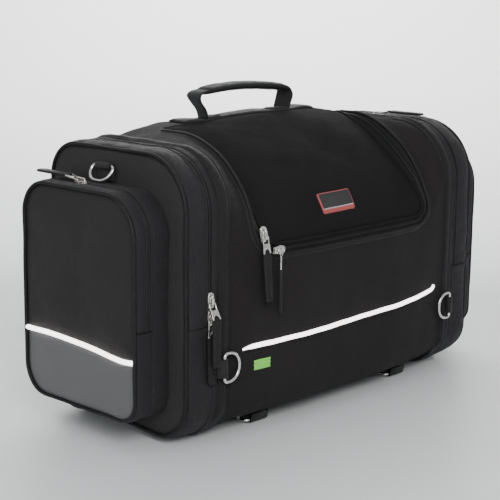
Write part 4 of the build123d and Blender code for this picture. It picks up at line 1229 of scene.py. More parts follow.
    # outer wall above the seam moves with the flap, below it stays with the door
    Pz, Nz = cut(*p_rr(0, 4.0), SEAM + 0.4, True)
    xs_ = np.array([269.8, 271.0, 273.5, 277.0, 280.0, 282.4, 283.8])
    hs = np.array([-0.8, 0.2, 0.6, 0.8, 0.6, -0.1, -1.2])
    o = ring_sweep(f"{nm}_flap_wall", sg, Pz, Nz, gusset_section(xs_, hs, -3.0), M["gusset"], closed=False, disp=soft(g_seed + 50, 0.32, 0.14, 0.15))
    ride(o, flap, "pocket_fabric", f"{nm}_pocket_flap")
    Pl, Nl = cut(*p_rr(0, 4.0), SEAM - 0.2, False)
    xs_ = np.array([264.0, 265.2, 268.0, 272.0, 276.0, 280.0, 282.4, 283.8])
    hs = np.array([-0.4, 0.1, 0.3, 0.8, 0.9, 0.6, -0.1, -1.2])
    sec = np.repeat(gusset_section(xs_, hs, -3.0)[None], len(Pl), 0)
    sec[:, :len(xs_), 1] += (smooth(Pl[:, 1], SEAM - 7, SEAM - 3) * 1.3)[:, None]
    o = ring_sweep(f"{nm}_pocket_wall_lower", sg, Pl, Nl, sec, M["gusset"], closed=False, disp=soft(g_seed + 50, 0.6, 0.3, 0.2))
    ride(o, door, "pocket_fabric")
    # piping round the face
    P, N = p_rr(1.9, 3.0)
    pos = at_x(sg * 285.3, P)
    pos[:, 0] += sg * field(pos, g_seed + 5, 60, 0.3)
    pos += at_x(0, N) * field(pos, g_seed + 6, 70, 0.3)[:, None]
    o = sweep(f"{nm}_pocket_piping_cord", pos, at_x(0, N), circle(1.95, 12), M["piping"], True)
    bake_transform(o)
    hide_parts(f"{nm}_flap_piping")
    # --- face of the pocket above the reflective piping, in one piece over the flap's fold
    P, N = p_rr(3.1, 3.5)
    loop = clip_loop(P, STRIP + [0, 0.9], True)
    face = yz_panel(f"{nm}_pocket_face", sg, loop, 284.3, 2.6, lambda a, b, s: 2.6 * (1 - s ** 5) - 0.7 * s ** 14, M["pocket"], 24, M["lining"],
                    g_seed + 7, 0.55)
    def pin_face(Q):
        # distance from the face's edge, by its scaled outline
        a = Q[:, 1:] - loop.mean(0)
        d = np.min(np.linalg.norm(Q[:, None, 1:] - loop[None, ::2], axis=2), axis=1)
        w = 1 - smooth(d, 1.5, 9.0)
        return np.where(np.abs(Q[:, 0]) < 282.5, 1.0, w)
    puff(face, pin_face, 1.6, 12, 3.0, 15.0, shrink=-0.012, calm=60)
    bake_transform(face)
    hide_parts(f"{nm}_pocket_flap")
    # --- smooth facing below it
    loop = clip_loop(P, STRIP + [0, -0.9], False)
    o = yz_panel(f"{nm}_pocket_facing_cloth", sg, loop, 284.3, 2.6, lambda a, b, s: 2.2 * (1 - s ** 6) - 0.7 * s ** 14, M["facing"], 18, M["lining"],
                 g_seed + 7, 0.55)
    ride(o, door, "pocket_facing", f"{nm}_pocket_facing")
    # --- reflective piping, carried over the face and tucked under the rim
    y = np.linspace(103.2, -72.6, 90)
    ln = STRIP[np.argsort(STRIP[:, 0])]
    z = np.interp(y, ln[:, 0], ln[:, 1])
    z = np.convolve(np.pad(z, 4, mode="edge"), np.ones(9) / 9, "valid")
    # height of the face there
    bulge = 286.6 - 1.3 * (np.abs((y - 15.5) / 89) ** 8)
    pos = np.stack([sg * bulge, y, z], 1)
    pos[:, 0] += sg * field(np.stack([0 * y, y, z], 1), g_seed + 9, 70, 0.35)
    nrm = np.stack([np.full_like(y, sg), 0 * y, 0 * y], 1)
    sec = slab(-2.5, 2.5, -1.6, 0.2, 1.1, 9, 0.5)
    o = sweep(f"{nm}_pocket_reflective_cord", pos, nrm, sec, M["reflective"])
    ride(o, door, "reflective", f"{nm}_pocket_reflective")
    # --- webbing loop of the end ring: round the bar and sewn down to the panel
    a = np.linspace(math.radians(-64), math.radians(188), 26)
    loop_pts = [(245.6 + 2.9 * math.cos(t), 281.2 + 2.9 * math.sin(t)) for t in a]
    tail = [(242.55, 278.6), (242.35, 275.0), (242.3, 270.0), (242.3, 265.5)]
    pts = np.array(loop_pts + tail)
    pos = np.stack([sg * pts[:, 0], np.full(len(pts), 19.0), pts[:, 1]], 1)
    nrm2 = np.zeros_like(pos)
    tt = unit(np.gradient(pts, axis=0))
    nrm2[:, 0], nrm2[:, 2] = sg * tt[:, 1], -tt[:, 0]
    sec = slab(-11.2, 11.2, -0.75, 0.55, 0.15, 9, 0.25)
    o = sweep(f"{nm}_ring_webbing", pos, nrm2, sec, M["web"])
    ride(o, door, "webbing", f"{nm}_ring_loop")
    # plain reinforcement patch sewn over the webbing's tail
    pts = np.array([(265.6, 0), (278.0, 0)])
    pos = np.stack([np.full(2, sg * 243.4), np.full(2, 19.0), pts[:, 0]], 1)
    pos = resample(pos, 2.0)
    o = sweep(f"{nm}_ring_patch", pos, np.tile([sg, 0, 0], (len(pos), 1)), slab(-13, 13, -1.6, 0.1, 0.5, 11, 0.5), M["end"])
    ride(o, door, "webbing")


SETTLE = slump
side(-1, "left")
side(1, "right")
SETTLE = None


# ------------------------------------------------------------------ fittings laid on the finished surfaces
from mathutils.bvhtree import BVHTree


def tree_of(*obs):
    V, F = [], []
    for ob in obs:
        base = len(V)
        V += [v.co.copy() for v in ob.data.vertices]
        F += [tuple(i + base for i in p.vertices) for p in ob.data.polygons]
    return BVHTree.FromPolygons(V, F)


def cast(tree, P, D, ease=0):
    """Where rays from points P (mm) along D first meet a surface, and the surface's normals, facing the rays."""
    P = np.asarray(P, float)
    D = np.broadcast_to(np.asarray(D, float), P.shape)
    hit, nrm = [], []
    for p, d in zip(P, D):
        h, n, _, _ = tree.ray_cast(Vector(p / 1000.0), Vector(d))
        if h is None:
            h, n = (Vector(hit[-1] / 1000.0), Vector(nrm[-1])) if hit else (Vector(p / 1000.0), Vector(-d))
        if n.dot(Vector(d)) > 0:
            n = -n
        hit.append(np.array(h) * 1000.0)
        nrm.append(np.array(n))
    hit, nrm = np.array(hit), np.array(nrm)
    if ease:
        k = np.ones(ease) / ease
        for i in range(3):
            nrm[:, i] = np.convolve(np.pad(nrm[:, i], ease // 2, mode="edge"), k, "valid")[:len(nrm)]
            hit[:, i] = np.convolve(np.pad(hit[:, i], ease // 2, mode="edge"), k, "valid")[:len(hit)]
    return hit, unit(nrm)


def dress(mat, *nodes):
    for nd in nodes:
        o = frame["nodes"][nd]
        if not len(o.material_slots):
            o.data.materials.append(mat)
        for s_ in o.material_slots:
            s_.link = "OBJECT"
            s_.material = mat


SHELL = tree_of(shell)
LIDT = tree_of(lid)
dress(M["ring"], "front_left_ring", "front_right_ring", "left_end_ring", "right_end_ring", "underside_left_ring", "underside_right_ring")
dress(M["lining"], "base_board", "end_dividers")

# ---- reflective piping across the front, with its end turned up
line = np.array([(-165.0, 95.0), (-160, 96.0), (-152, 96.5), (-120, 97.0), (-60, 97.8), (0, 98.8), (60, 100.6), (100, 102.2), (126, 103.4),
                 (148, 104.6), (158, 105.4), (162.5, 107.0), (164.5, 110.2)], float)
line = resample(chaikin(line, 2), 2.0)
hit, nrm = cast(SHELL, np.stack([line[:, 0], np.full(len(line), -300.0), line[:, 1]], 1), (0, 1, 0), 7)
hit[:, 0], hit[:, 2] = line[:, 0], line[:, 1]
taper = 0.45 + 0.55 * smooth(np.arange(len(hit)) * 2.0, 0, 14)
o = sweep("front_reflective_cord", hit, nrm, slab(-2.7, 2.7, -1.5, 0.5, 1.2, 9, 0.5), M["reflective"], scale=taper)
ride(o, "root", "reflective", "front_reflective_piping")
# the stitched fold of the body cloth along the piping's lower side
o = sweep("front_reflective_fold", hit[2:-3] + np.array([0, 0, -3.4]), nrm[2:-3], slab(-2.0, 2.0, -1.6, 0.1, 0.9, 7, 0.5), M["body"])
ride(o, "root", "body_fabric")

# ---- webbing strap along the top, folded under at its ends, box stitched at the handle's feet
xs_ = np.arange(-106.0, 110.1, 3.0)
rows, nn_ = [], []
for y in np.linspace(47.5, 72.5, 9):
    h_, n_ = cast(SHELL, np.stack([xs_, np.full(len(xs_), y), np.full(len(xs_), 400.0)], 1), (0, 0, -1), 5)
    h_[:, 0], h_[:, 1] = xs_, y
    rows.append(h_)
    nn_.append(n_)
T = np.stack(rows, 1)
NN = np.stack(nn_, 1)
edge_t = smooth(np.minimum(np.arange(9), 8 - np.arange(9)), -0.5, 1.2)
th = 0.6 + 1.15 * edge_t[None] + 1.5 * np.exp(-((np.abs(xs_) - 92) / 16.0) ** 2)[:, None] + 0.35 * np.exp(-((np.minimum(xs_ - xs_[0], xs_[-1] - xs_) - 4) / 6.0) ** 2)[:, None]
V = np.concatenate([T + NN * th[..., None], (T - NN * 1.2)[:, ::-1]], 1)
v, f, uv = grid(V, False, True, True)
o = make("top_strap", v, f, uv, M["web"])
ride(o, "root", "webbing", "handle_strap")


def top_stitches(name, pts, body="root", base="top_strap"):
    pts = resample(np.array(pts, float), 1.5)
    h_, n_ = cast(tree_of(bpy.data.objects[base]), np.concatenate([pts, np.full((len(pts), 1), 400.0)], 1), (0, 0, -1), 3)
    h_[:, :2] = pts
    st = stitches(name, h_, n_, M["thread"], 3.0, 2.2, 0.3, 0.1)
    ride(st, body, "webbing")


top_stitches("strap_stitch_front", [(-104, 49.5), (108, 49.5)])
top_stitches("strap_stitch_back", [(-104, 70.5), (108, 70.5)])
for i, x in enumerate((-104.0, 108.0)):
    top_stitches(f"strap_stitch_end_{i}", [(x, 50.5), (x, 69.5)])
STRAP = tree_of(bpy.data.objects["top_strap"])
for i, (xa, xb, a_, b_) in enumerate(((-65.5, -45.0, -47.0, -61.5), (45.0, 68.6, 47.0, 64.5))):
    # the handle's end, turned under and sewn down flat
    xs2 = np.linspace(xa, xb, 15)
    rows = []
    for y in np.linspace(49.6, 70.4, 9):
        h_, _ = cast(STRAP, np.stack([xs2, np.full(15, y), np.full(15, 400.0)], 1), (0, 0, -1), 5)
        h_[:, 0], h_[:, 1] = xs2, y
        rows.append(h_)
    T = np.stack(rows, 1)
    th = 0.3 + 1.5 * edge_t[None] * smooth(np.minimum(np.arange(15), 14 - np.arange(15)), -0.6, 1.2)[:, None]
    V = np.concatenate([T + np.stack([0 * th, 0 * th, th], -1), (T - [0, 0, 0.8])[:, ::-1]], 1)
    v, f, uv = grid(V, False, True, True)
    o = make(f"handle_end_{i}", v, f, uv, M["web"])
    ride(o, "root", "webbing")
    top_stitches(f"foot_stitch_{i}", [(a_, 51.5), (b_, 51.5), (b_, 68.5), (a_, 68.5), (a_, 51.5), (b_, 68.5)], base=f"handle_end_{i}")


# ---- carrying handle
def ribbon(name, pts, wide, thick, mat, y, step=1.6, seed=0):
    """Webbing in a plane of constant y, along (x, z) points, its width given by wide at each point of the way."""
    pts = resample(chaikin(np.array(pts, float), 3), step)
    pos = np.stack([pts[:, 0], np.full(len(pts), y), pts[:, 1]], 1)
    tt = unit(np.gradient(pts, axis=0))
    nrm = np.stack([-tt[:, 1], 0 * tt[:, 0], tt[:, 0]], 1)
    s = np.linspace(0, 1, len(pos))
    base = slab(-0.5, 0.5, -thick / 2, thick / 2 - 0.2, 0.2, 9, 0.3)
    sec = np.repeat(base[None], len(pos), 0)
    sec[..., 0] *= np.interp(s, np.linspace(0, 1, len(wide)), wide)[:, None]
    return sweep(name, pos, nrm, sec, mat)


foot_z = [float(cast(STRAP, np.array([[x, 60.0, 400.0]]), (0, 0, -1), 3)[0][0, 2]) for x in (-64.6, 67.4)]
web_pts = [(-64.6, foot_z[0] + 0.7), (-65.2, foot_z[0] + 3.2), (-67.6, 323.4), (-72.5, 328.6), (-77.2, 333.8), (-79.8, 338.0), (-79.2, 341.6), (-75.0, 344.2), (-65.5, 345.6), (-40, 347.3),
           (0, 348.2), (40, 347.3), (62, 345.3), (67.0, 343.6), (71.2, 340.2), (72.6, 336.0), (71.6, 331.0), (69.6, 326.4), (67.8, 321.5), (67.2, foot_z[1] + 3.0), (67.4, foot_z[1] + 0.7)]
o = ribbon("handle_ribbon", web_pts, [20.5, 22, 22.5, 22.5, 22.5, 22.5, 22.5, 22.5, 22.5, 22.5, 21], 2.3, M["web"], 60.0)
# the legs are a little twisted where they were sewn down
P = np.array([q.co for q in o.data.vertices]) * 1000.0
low = smooth(341.0 - P[:, 2], 0, 9)
P[:, 0] += np.where(P[:, 0] > 0, -0.20, 0.20) * (P[:, 1] - 60.0) * low
o.data.vertices.foreach_set("co", (P / 1000.0).astype(np.float32).ravel())
o.data.update()
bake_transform(o)
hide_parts("handle_webbing")

# grip: closed-cell rubber sleeve, flattened and arched, closed by a lengthwise seam underneath
gx = np.concatenate([np.linspace(-66, -60, 8)[:-1], np.linspace(-60, 60, 62), np.linspace(60, 66, 8)[1:]])
k = 32
sections = []
for x in gx:
    e = max(0.0, (abs(x) - 58.5) / 7.5)
    sc = math.sqrt(max(1 - e ** 2.6, 0.0)) * 0.62 + 0.38 if e > 0 else 1.0
    w_ = 13.4 * (1 - 0.10 * (abs(x) / 66) ** 3) * (0.72 + 0.28 * sc)
    h_ = 5.0 * (1 - 0.08 * (abs(x) / 66) ** 2) * sc
    zc = 343.5 + 4.6 * (1 - (x / 66) ** 2) - 1.0 * (x / 66) - 0.4 * e
    a = np.arange(k) * 2 * math.pi / k
    p_ = 2.7
    cy = np.sign(np.cos(a)) * np.abs(np.cos(a)) ** (2 / p_) * w_
    cz = np.sign(np.sin(a)) * np.abs(np.sin(a)) ** (2 / p_) * h_
    cz = np.where(cz < 0, cz * 0.82, cz)
    cz = cz - 0.7 * np.exp(-(cy / 1.6) ** 2) * (cz < 0)
    sections.append(np.stack([np.full(k, x), 60.0 + cy, zc + cz], 1))
V = np.stack(sections)
V = V + (field(V, 71, 30, 0.25) + field(V, 72, 11, 0.10))[..., None] * unit(V - V.mean(1, keepdims=True))
v, f, uv = grid(V, False, True, True)
o = make("handle_sleeve", v, f, uv, M["grip"])
ride(o, "handle", "handle_rubber", "handle_grip", pad=0.7)
# seam under the sleeve
pos = np.stack([np.linspace(-58, 58, 60)] * 3, 1)
pos[:, 1] = 60.0
pos[:, 2] = 343.5 + 4.6 * (1 - (pos[:, 0] / 66) ** 2) - pos[:, 0] / 66 - 4.3
st = stitches("handle_sleeve_stitch", pos, np.tile([0, 0, -1.0], (60, 1)), M["thread"], 4.0, 3.0, 0.35, 0.25)
ride(st, "handle", "handle_rubber")


# ---- loops for the front and underside rings
def arc_pts(c, r, a0, a1, n=14):
    t = np.radians(np.linspace(a0, a1, n))
    return [(c[0] + r * math.cos(q), c[1] + r * math.sin(q)) for q in t]


def loop_ribbon(name, pts2, to3, nrm3, half, mat, body, slot_, *nodes, thick=0.65):
    pts2 = resample(np.array(pts2, float), 0.8)
    tt = unit(np.gradient(pts2, axis=0))
    nn2 = np.stack([tt[:, 1], -tt[:, 0]], 1)
    c = pts2.mean(0)
    pos = np.array([to3(*p_) for p_ in pts2])
    nrm = np.array([nrm3(*n_) for n_ in nn2])
    o_ = sweep(name, pos, nrm, slab(-half, half, -thick, thick - 0.15, 0.15, 9, 0.25), mat)
    ride(o_, body, slot_, *nodes)
    return o_


for sg, nm in ((-1, "left"), (1, "right")):
    pts = [(202.0, -98.6), (202.0, -101.8), (200.8, -105.2), (198.4, -107.9), (196.5, -109.1)] + arc_pts((194.5, -106.6), 2.95, -75, -280, 18) + \
          [(196.8, -103.6), (199.0, -101.6), (200.2, -98.6)]
    loop_ribbon(f"front_{nm}_loop", chaikin(pts, 1), lambda a, b: (sg * a, b, 81.5), lambda a, b: (sg * a, b, 0.0), 9.6, M["web"], "root", "webbing",
                *(("ring_loops",) if sg < 0 else ()))
for i, x in enumerate((-116.0, 126.0)):
    pts = [(-74.6, 11.6), (-75.2, 8.0)] + arc_pts((-79.0, 4.6), 2.95, 20, -200, 18) + [(-82.6, 8.0), (-83.2, 11.6)]
    loop_ribbon(f"underside_loop_{i}", pts, lambda a, b: (x, a, b), lambda a, b: (0.0, a, b), 12.6, M["web"], "root", "webbing",
                *(("underside_loops",) if i == 0 else ()))

# ---- plain patch sewn to the lid
FPX = 1320.91
CAM = np.array([-1109.72, -1016.51, 473.27])
R2, U2, FW = (np.array(q) for q in (r2, u2, fwd))


def sight(u, v):
    """Direction of the camera's line of sight through a point of the picture."""
    return unit(FW + (u - 250.0) / FPX * R2 + (250.0 - v) / FPX * U2)


corners = np.array([(313.6, 196.2), (344.6, 189.0), (357.6, 207.0), (326.4, 212.8)])
hit, _ = cast(LIDT, np.tile(CAM, (4, 1)), np.array([sight(*c_) for c_ in corners]))
ex, ey = unit((hit[1] - hit[0]) + (hit[2] - hit[3])), None
dn = unit((hit[3] - hit[0]) + (hit[2] - hit[1]))
nz = unit(np.cross(dn, ex))
nz = nz if nz[2] > 0 else -nz
dn = unit(np.cross(ex, nz))
dn = dn if dn[2] < 0 else -dn
mid_ = hit.mean(0)
PATCH = (np.linalg.norm(hit[1] - hit[0]) + np.linalg.norm(hit[2] - hit[3])) / 2, (np.linalg.norm(hit[3] - hit[0]) + np.linalg.norm(hit[2] - hit[1])) / 2
W_, H_ = PATCH[0] / 2, PATCH[1] / 2
nu, nv = 60, 30
gu = np.linspace(-W_, W_, nu)
gv = np.linspace(-H_, H_, nv)
A, B = np.meshgrid(gu, gv, indexing="ij")
base = mid_ + A[..., None] * ex + B[..., None] * dn
flat = base.reshape(-1, 3)
h_, _ = cast(LIDT, flat + nz * 20, -nz)
depth = ((h_ - flat) @ nz).reshape(nu, nv)
for _ in range(6):
    depth[1:-1, 1:-1] = (depth[2:, 1:-1] + depth[:-2, 1:-1] + depth[1:-1, 2:] + depth[1:-1, :-2]) / 4
edge_ = np.minimum(W_ - np.abs(A), H_ - np.abs(B))
rad_ = 2.2
rim_ = smooth(edge_, 0.0, 0.8)
lift = 0.9 + 0.75 * np.exp(-((edge_ - 1.1) / 0.75) ** 2) * rim_
lift = np.where(edge_ < 0.01, 0.25, lift)
top = base + nz * (depth + lift)[..., None]
# rounded corners
cu = np.clip(np.abs(A) - (W_ - rad_), 0, None)
cv = np.clip(np.abs(B) - (H_ - rad_), 0, None)
rr_ = np.hypot(cu, cv)
both = (cu > 0) & (cv > 0) & (rr_ > 0)
k_ = np.where(both, np.maximum(cu, cv) / np.maximum(rr_, 1e-6), 1.0)
A2 = np.where(both, np.sign(A) * ((W_ - rad_) + cu * k_), A)
B2 = np.where(both, np.sign(B) * ((H_ - rad_) + cv * k_), B)
top = mid_ + A2[..., None] * ex + B2[..., None] * dn + nz * (depth + lift)[..., None]
low = mid_ + A2[..., None] * ex + B2[..., None] * dn + nz * (depth - 0.6)[..., None]
vt, ft, ut = grid(top, False, False)
ut = np.stack([A, B], -1).reshape(-1, 2)[np.array(ft).ravel()]
vb, fb, ub = grid(low, False, False)
nvt = len(vt)
fb = [[a + nvt for a in q] for q in fb]
ring_i = [(i, 0) for i in range(nu)] + [(nu - 1, j) for j in range(1, nv)] + [(i, nv - 1) for i in range(nu - 2, -1, -1)] + [(0, j) for j in range(nv - 2, 0, -1)]
ids = [i * nv + j for i, j in ring_i]
fs = [[ids[q], ids[(q + 1) % len(ids)], nvt + ids[(q + 1) % len(ids)], nvt + ids[q]] for q in range(len(ids))]
us = np.array([(W_, H_)] * (4 * len(fs)))


def badge_material():
    """Embroidered patch with a blank field: satin border, plain band below it, one thin stripe."""
    t = Mat("badge_embroidery")
    u, v_, _ = t.uv()
    au = t.math("SUBTRACT", W_, t.math("ABSOLUTE", u))
    av = t.math("SUBTRACT", H_, t.math("ABSOLUTE", v_))
    e = t.math("MINIMUM", au, av)
    border = t.math("MAXIMUM", t.math("LESS_THAN", e, 1.35), t.math("GREATER_THAN", v_, H_ * 0.60))
    stripe = t.math("MULTIPLY", t.math("GREATER_THAN", v_, H_ * 0.50), t.math("LESS_THAN", v_, H_ * 0.60))
    inside = t.math("GREATER_THAN", au, 1.35)
    stripe = t.math("MULTIPLY", stripe, inside)
    tw = t.math("SINE", t.math("MULTIPLY", t.math("ADD", u, t.math("MULTIPLY", v_, 0.35)), 2 * math.pi / 0.8))
    n_ = t.noise(1.0, 2.0)
    g = t.math("ADD", t.math("MULTIPLY", tw, 0.12), n_)
    field_c = t.ramp(g, [(0.2, (0.010, 0.010, 0.011)), (0.85, (0.030, 0.029, 0.030))])
    edge_c = t.ramp(g, [(0.2, (0.30, 0.045, 0.045)), (0.85, (0.52, 0.10, 0.09))])
    stripe_c = t.ramp(g, [(0.2, (0.34, 0.33, 0.33)), (0.85, (0.58, 0.57, 0.56))])
    m1 = t.n.new("ShaderNodeMix")
    m1.data_type = "RGBA"
    t.link(border, m1.inputs["Factor"])
    t.link(field_c, m1.inputs[6])
    t.link(edge_c, m1.inputs[7])
    m2 = t.n.new("ShaderNodeMix")
    m2.data_type = "RGBA"
    t.link(stripe, m2.inputs["Factor"])
    t.link(m1.outputs[2], m2.inputs[6])
    t.link(stripe_c, m2.inputs[7])
    t.link(m2.outputs[2], t.b.inputs["Base Color"])
    t.link(t.range(n_, 0.5, 0.75), t.b.inputs["Roughness"])
    t.bump((tw, 0.18, 0.7), (n_, 0.12, 0.5))
    return t.m


o = make("lid_badge", np.concatenate([vt, vb]), ft + fb + fs, np.concatenate([ut, ub, us]), badge_material())
ride(o, "lid", "badge", "lid_patch")


# ---- blank price sticker on the front
def sticker_material():
    t = Mat("sticker_paper")
    n_ = t.noise(4.0, 3.0)
    t.link(t.ramp(n_, [(0.3, (0.17, 0.58, 0.075)), (0.7, (0.23, 0.68, 0.10))]), t.b.inputs["Base Color"])
    t.link(t.range(n_, 0.42, 0.58, 0.3, 0.7), t.b.inputs["Roughness"])
    t.bump((n_, 0.2, 0.4), (t.noise(0.8, 2.0), 0.03, 0.4))
    return t.m


n1, n2 = 26, 12
gx_, gz_ = np.linspace(-151.0, -128.5, n1), np.linspace(70.6, 81.2, n2)
A, B = np.meshgrid(gx_, gz_, indexing="ij")
h_, q_ = cast(SHELL, np.stack([A.ravel(), np.full(A.size, -300.0), B.ravel()], 1), (0, 1, 0))
Y = h_[:, 1].reshape(n1, n2)
for _ in range(5):
    Y[1:-1, 1:-1] = (Y[2:, 1:-1] + Y[:-2, 1:-1] + Y[1:-1, 2:] + Y[1:-1, :-2]) / 4
Y = Y - 0.35 - 0.5 * smooth(np.hypot((A + 151.0) / 7, (B - 81.2) / 5), 1, 0)
# die-cut wavy ends
wave = 0.4 * np.sin((B - 70.6) / 10.6 * 2 * math.pi * 2.5)
Ax = A + wave * smooth(np.abs(A + 139.75), 9, 11.25) * np.sign(A + 139.75)
top = np.stack([Ax, Y, B], -1)
low = top + [0, 0.3, 0]
vt, ft, _ = grid(top, False, False)
ut = np.stack([A, B], -1).reshape(-1, 2)[np.array(ft).ravel()]
nvt = len(vt)
ids = [i * n2 for i in range(n1)] + [(n1 - 1) * n2 + j for j in range(1, n2)] + [i * n2 + n2 - 1 for i in range(n1 - 2, -1, -1)] + list(range(n2 - 2, 0, -1))
fb = [[a + nvt for a in q] for q in ft]
fs = [[ids[q], ids[(q + 1) % len(ids)], nvt + ids[(q + 1) % len(ids)], nvt + ids[q]] for q in range(len(ids))]
o = make("blank_sticker", np.concatenate([vt, low.reshape(-1, 3)]), ft + fb + fs, np.concatenate([ut, ut, np.zeros((4 * len(fs), 2))]), sticker_material())
ride(o, "root")


# ------------------------------------------------------------------ zip sliders and pulls
def plane(o, x, z):
    o, x, z = np.array(o, float), unit(np.array(x, float)), unit(np.array(z, float))
    return o, x, np.cross(z, x), z


def front_plane(x, y, z, tip=0.0):
    t = math.radians(tip)
    return plane((x, y, z), (1, 0, 0), (0, -math.cos(t), math.sin(t)))


def vis_slider(node):
    def build(pl):
        o, x, y, z = pl
        obs = []
        shield = [(-4.5, 1.6), (-4.4, 4.2), (-3.6, 6.8), (-2.0, 8.3), (0, 8.6), (2.0, 8.3), (3.6, 6.8), (4.4, 4.2), (4.5, 1.6), (4.0, -3.0), (3.5, -7.4),
                  (2.8, -8.0), (-2.8, -8.0), (-3.5, -7.4), (-4.0, -3.0)]
        obs.append(prism(node + "_a", shield, o, x, y, z, 0.3, 1.0, M["slider"], 0.25))
        obs.append(prism(node + "_b", [(a * 0.97, b * 0.97) for a, b in shield], o, x, y, z, 1.7, 2.55, M["slider"], 0.35, 3))
        for s in (-1, 1):
            fl = [(s * 4.3, 1.4), (s * 3.35, -7.5), (s * 2.7, -7.5), (s * 3.6, 1.4)]
            obs.append(prism(node + f"_f{s}", fl, o, x, y, z, 0.6, 2.1, M["slider"], 0.2))
        obs.append(prism(node + "_n", [(-1.3, 4.0), (0, 8.2), (1.3, 4.0), (0, 2.2)], o, x, y, z, 0.7, 2.0, M["slider"], 0.2))
        # raised boss under the bridge
        V = []
        for i in range(9):
            ph = math.pi / 2 * i / 8
            for j in range(20):
                a = 2 * math.pi * j / 20
                V.append(o + x * (2.3 * math.cos(ph) * math.cos(a)) + y * (1.0 + 3.4 * math.cos(ph) * math.sin(a)) + z * (2.4 + 0.95 * math.sin(ph)))
        V = np.array(V).reshape(9, 20, 3)
        v_, f_, uv_ = grid(V, False, True)
        f_ = list(f_) + [[8 * 20 + j for j in range(20)]]
        uv_ = np.concatenate([uv_, np.zeros((20, 2))])
        obs.append(make(node + "_boss", v_, f_, uv_, M["slider"], fix=False))
        # bridge that holds the pull
        path = chaikin([(-5.1, 2.2), (-5.1, 4.2), (-4.6, 5.35), (-3.2, 5.6), (3.6, 5.5), (5.4, 4.6), (6.1, 3.4), (6.1, 2.2)], 2)
        path = resample(path, 0.6)
        pos = o + path[:, :1] * y + path[:, 1:] * z
        tt = unit(np.gradient(path, axis=0))
        nrm = (-tt[:, 1:]) * y + tt[:, :1] * z
        s = np.linspace(0, 1, len(path))
        wide = 1.15 + 0.55 * np.exp(-((s - 0.52) / 0.2) ** 2)
        sec = slab(-1, 1, -0.5, 0.35, 0.15, 7, 0.3)
        sec = np.repeat(sec[None], len(pos), 0)
        sec[..., 0] *= wide[:, None]
        obs.append(sweep(node + "_bridge", pos, nrm, sec, M["slider"]))
        return join(node + "_body", obs)
    return build


def add_slider(node, pl):
    ob = vis_slider(node)(pl)
    ride(ob, node, "zip_metal", node)


def leather_tab(node, body, o, x, y, z, length=49.5, wt=5.8, wb=5.2, neck=3.4, th=1.15, blank=True):
    """Tab in the plane (x, y) from just above o, hanging along y."""
    L = length
    poly = [(-wt + 0.6, 0.0), (-3.3, 0.2), (-2.6, -1.8), (-2.2, -neck), (2.2, -neck), (2.6, -1.8), (3.3, 0.2), (wt - 0.6, 0.0), (wt, 0.8),
            (wb, L - 3.2), (wb - 0.7, L - 1.2), (wb - 2.0, L), (-wb + 2.0, L), (-wb + 0.7, L - 1.2), (-wb, L - 3.2), (-wt, 0.8)]
    ob = prism(node + "_tab", poly, o, x, y, z, -th, th, M["leather"], 0.45, 3)
    ride(ob, body, "pull_leather")
    for s, tag in ((1, "f"), (-1, "b")):
        pts = [(-wt + 1.6, 2.4), (-wb + 1.6, L - 2.2), (wb - 1.6, L - 2.2), (wt - 1.6, 2.4), (-wt + 1.6, 2.4)]
        pts = resample(np.array(pts, float), 1.0)
        pos = o + pts[:, :1] * x + pts[:, 1:] * y + s * th * z
        st = stitches(node + "_stitch_" + tag, pos, np.tile(s * z, (len(pos), 1)), M["thread"], 2.6, 1.9, 0.26, 0.02)
        ride(st, body, "pull_leather")
    # raised middle band
    mid_poly = [(-wt + 2.6, 5.0), (wt - 2.6, 5.0), (wb - 2.5, L - 5.0), (-wb + 2.5, L - 5.0)]
    ob = prism(node + "_emboss", mid_poly, o, x, y, z, -th - 0.16, th + 0.16, M["leather"], 0.3, 2)
    ride(ob, body, "pull_leather")


def crimp(name, o, x, y, z, y0, y1, y2, w0, w1, th=0.95):
    """Horned end plate of a pull: from y0 to the horn tips at y2, notched back to y1 between them."""
    notch = [(w1 * 0.62 * math.cos(a), y2 - (y2 - y1) * math.sin(a)) for a in np.linspace(0, math.pi, 11)]
    poly = [(-w0, y0), (w0, y0), (w0 + 0.15, y0 + 2.2), (w1 - 0.1, y2 - 1.2), (w1, y2)] + notch + [(-w1, y2), (-w1 + 0.1, y2 - 1.2), (-w0 - 0.15, y0 + 2.2)]
    return prism(name, poly, o, x, y, z, -th, th, M["slider"], 0.3, 3)


def add_pull(node, pl, lift=0.0, hang=None):
    o, x, y, z = pl
    hang = -y if hang is None else unit(np.array(hang, float))
    l = math.radians(lift)
    px = o + y * -2.6 + z * 3.6
    ld, ln = -y * math.cos(l) + z * math.sin(l), z * math.cos(l) + y * math.sin(l)
    lx = -x
    obs = []
    bar = np.array([px + lx * a for a in np.linspace(-4.5, 4.5, 9)])
    obs.append(sweep(node + "_bar", bar, None, circle(0.75, 12), M["slider"]))
    for s in (-1, 1):
        path = np.array([px + lx * (s * (3.85 + 0.25 * math.sin(t * math.pi))) + ld * (-0.6 + 8.4 * t) for t in np.linspace(0, 1, 9)])
        sec = slab(-0.75, 0.75, -0.7, 0.5, 0.2, 7, 0.35)
        obs.append(sweep(node + f"_arm{s}", path, np.tile(ln, (9, 1)), sec, M["slider"]))
    obs.append(crimp(node + "_crimp", px, lx, ld, ln, 6.8, 12.6, 17.2, 4.7, 5.6))
    ob = join(node + "_link", obs)
    ride(ob, node, "zip_metal", node)
    top_ = px + ld * 17.6
    tz = unit(np.cross(lx, hang))
    leather_tab(node, node, top_, lx, hang, tz)


